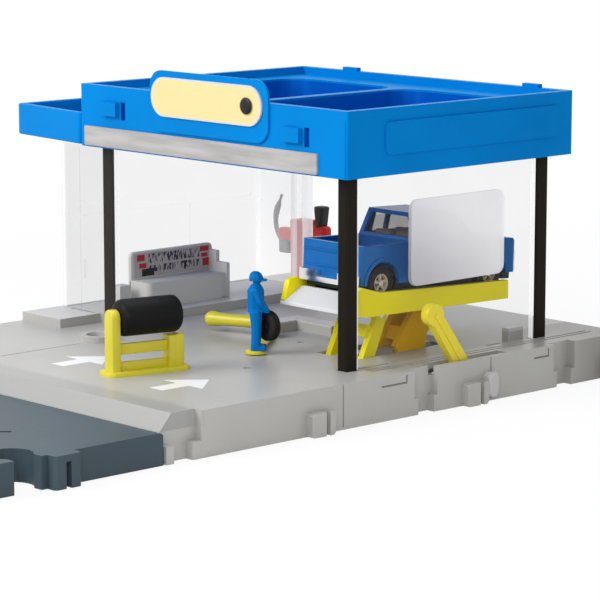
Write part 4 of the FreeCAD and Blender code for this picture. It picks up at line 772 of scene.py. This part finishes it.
# %% Turn the tyres and rims
tread = [(-1.95, 5.45), (-1.45, 5.65), (-0.65, 5.65), (-0.55, 5.45), (-0.35, 5.45), (-0.25, 5.65),
         (0.25, 5.65), (0.35, 5.45), (0.55, 5.45), (0.65, 5.65), (1.45, 5.65), (1.95, 5.45)]
tyre = [(-1.7, 3.0), (-2.2, 3.2), (-2.3, 4.2)] + tread
tyre = tyre + [(2.3, 4.2), (2.2, 3.2), (1.7, 3.0), (-1.7, 3.0)]
rim = [(-1.6, 2.5), (-2.0, 2.6), (-2.05, 2.95), (-1.6, 3.1),
       (1.6, 3.1), (2.05, 2.95), (2.0, 2.6), (1.6, 2.5), (-1.6, 2.5)]
boss = [(0.4, 0.3), (1.9, 0.3), (2.05, 0.5), (1.9, 0.85), (0.4, 0.95)]
back_disc = [(-1.4, 0.2), (-1.4, 2.7), (0.2, 2.7), (0.4, 2.5), (0.4, 0.2)]
half_track = 10.8

def wheel(middle_of, side):
    """One wheel: a tyre, a rim with five spokes, and a dark disc behind them."""
    way = (side, 0, 0)
    put_tyre = put(lathe(tyre, 44), middle_of, way)
    parts = [lathe(rim, 36), lathe(boss, 16)]
    for number in range(5):
        spoke = block((0.4, -0.42, 1.0), (2.8, 0.42, 1.75), 0.14)
        spoke.rotation_euler = (0, 0, math.radians(72 * number + 18))
        settle(spoke)
        parts.append(spoke)
    put_hub = put(joined(parts), middle_of, way)
    put_disc = put(lathe(back_disc, 24), middle_of, way)
    return put_tyre, put_hub, put_disc

for end, axle in (("rear", (42.2, 6.7, 37.74)), ("front", (42.2, 55.37, 35.77))):
    made = [wheel((axle[0] + side * half_track, axle[1], axle[2]), side) for side in (-1, 1)]
    for number, (round_tyre, hub, disc) in enumerate(made):
        hand = "left" if number == 0 else "right"
        ready(round_tyre, "tyre_" + end + "_" + hand, "tyre_black", "axle_" + end, "tyres_" + end)
        ready(hub, "rim_" + end + "_" + hand, "hub_tan", "axle_" + end, "hubs_" + end)
        ready(disc, "drum_" + end + "_" + hand, "truck_black", "axle_" + end)

half_spare = [(-1.4, 0.5), (-1.2, 0.6), (-1.1, 2.1), (-1.5, 2.4), (-1.7, 3.3), (-1.5, 4.4),
              (-1.0, 4.75), (-0.5, 4.8), (-0.4, 4.6)]
spare = half_spare + [(-along_it, radius) for along_it, radius in reversed(half_spare)]
spare_wheel = put(lathe(spare, 44), (25.2, -13.5, 23.0), (-0.10, -0.995, 0.0))
ready(spare_wheel, "spare_wheel", "tyre_black", "swing", "spare_tyre")

# %% [markdown]
# Button.
# A small plain button sits at the right end of the label.
# It is turned like a rivet head: a short wall, a rolled edge and a low dome.

# %% Set the button
dome = [(0.0, 0.4), (0.0, 2.6), (0.25, 2.6), (0.45, 2.4), (0.6, 1.8), (0.68, 0.4)]
button = put(lathe(dome, 48), (26.0, -23.4, label_level), (0, -1, 0))
ready(button, "sign_button", "badge_black", "base", "sign_badge")

# %% [markdown]
# Pump station.
# Behind the back wall stands a red pump: a rounded hood, a black nozzle that leans in its rest at
# the right, and at the left a grey hose that rises in a bow to a thin tip.
# The hose is one bar whose radius swells at its grip, the nozzle a tapered block.

# %% Build the hood, the nozzle and the hose
hood = joined([
    block((-67.2, 80.5, 28.8), (-61.0, 87.5, 38.4), 0.7, 3),
    block((-75.4, 81.6, 30.0), (-65.5, 86.4, 34.6), 1.6, 5),
    block((-62.0, 81.6, 31.8), (-50.6, 86.4, 37.0), 1.5, 5),
    block((-59.4, 82.4, 34.0), (-57.6, 85.6, 38.6), 0.4, 2)])
ready(hood, "pump_cover", "pump_red", "base", "pump_hood", "pump_bracket")
nozzle = block((-56.3, 81.8, 35.5), (-51.6, 86.2, 44.0), 0)
for corner in nozzle.data.vertices:
    if corner.co.z < 0.04:
        corner.co.x += 0.0010 if corner.co.x < -0.055 else -0.0013
roll(nozzle, 0.9, 3)
ready(nozzle, "pump_nozzle", "head_black", "base", "pump_head")
grip = roll(block((-75.3, 82.3, 25.2), (-70.2, 85.7, 31.0), 0), 0.9, 3)
arm_line = [(-73.6, 84, 29.0, 1.3), (-75.6, 84, 30.4, 1.1), (-77.9, 84, 33.4, 0.85),
            (-78.4, 84, 36.8, 0.85), (-77.9, 84, 39.6, 1.15), (-76.8, 84, 42.4, 1.1),
            (-75.9, 84, 44.2, 0.35), (-75.0, 84, 46.2, 0.55)]
ready(joined([grip, bar(arm_line)]), "pump_hose", "pump_grey", "base", "air_arm")

# %% [markdown]
# Figure and swing arm.
# The figure is a soft blue moulding without sharp edges, and the bar it swings on is a rounded
# yellow bumper with a swollen end.
# A copy of the figure's own shape is melted together and smoothed, which rounds every limb. The
# bumper is a bar with a changing radius, tied to its pivot and its foot by flat arms.

# %% Smooth the figure and build the bumper
def melted(node, grain, rounds):
    """A copy of a node's shape with its solids run together and its edges rounded."""
    copy = nodes[node].copy()
    copy.data = nodes[node].data.copy()
    copy.modifiers.clear()
    scene.collection.objects.link(copy)
    copy.parent = None
    alone(copy)
    bpy.ops.object.mode_set(mode="EDIT")
    bpy.ops.mesh.select_all(action="SELECT")
    bpy.ops.mesh.remove_doubles(threshold=0.000004)
    bpy.ops.object.mode_set(mode="OBJECT")
    run = copy.modifiers.new("run", "REMESH")
    run.mode = "VOXEL"
    run.voxel_size = grain * MM
    even = copy.modifiers.new("even", "SMOOTH")
    even.factor = 0.5
    even.iterations = rounds
    bpy.ops.object.modifier_apply(modifier="run")
    bpy.ops.object.modifier_apply(modifier="even")
    return copy

figure = melted("mechanic_figure", 0.22, 4)
ready(figure, "figure_soft", "figure_blue", "swing", "mechanic_figure", angle=60)

# %% Bend the bumper
pivot, toe = Vector((4.0, 5.0, 0.0)), Vector((22.8, -16.7, 0.0))
way_out = Vector((math.cos(math.radians(195)), math.sin(math.radians(195)), 0.0))
line = [(0.0, 18.6, 2.1), (6.0, 18.7, 2.0), (13.0, 18.5, 1.95), (18.0, 18.4, 2.1),
        (20.6, 18.3, 2.55), (22.6, 18.3, 2.5), (23.5, 18.3, 1.3)]
points = [(*(pivot + way_out * far_out).xy, level, radius) for far_out, level, radius in line]
reach_of = (toe - pivot).length
arm = roll(block((0.0, -2.2, 14.35), (reach_of, 2.2, 15.4), 0), 0.35, 2)
arm.rotation_euler = (0, 0, math.atan2(toe.y - pivot.y, toe.x - pivot.x))
arm.location = pivot * MM
settle(arm)
hub = put(lathe([(14.4, 0.4), (14.4, 3.3), (17.2, 3.3), (17.9, 2.9), (17.9, 0.4)], 40), pivot)
foot_disc = put(lathe([(14.35, 0.4), (14.35, 3.4), (15.1, 3.4), (15.4, 3.1), (15.4, 0.4)], 40), toe)
ready(joined([bar(points, 5), arm, hub, foot_disc]), "bumper_arm", "yellow", "swing", "swing_arm")

# %% [markdown]
# Pickup trim.
# The tailgate has two pressed creases that catch the light.
# They are thin rolled strips that stand a fifth of a millimetre out of it.

# %% Trim the tailgate
creases = joined([block((30.2, -2.95, level), (54.2, -2.4, level + 0.5), 0.1, 3)
                  for level in (47.2, 42.3)])
ready(creases, "tailgate_creases", "truck_paint", "truck")
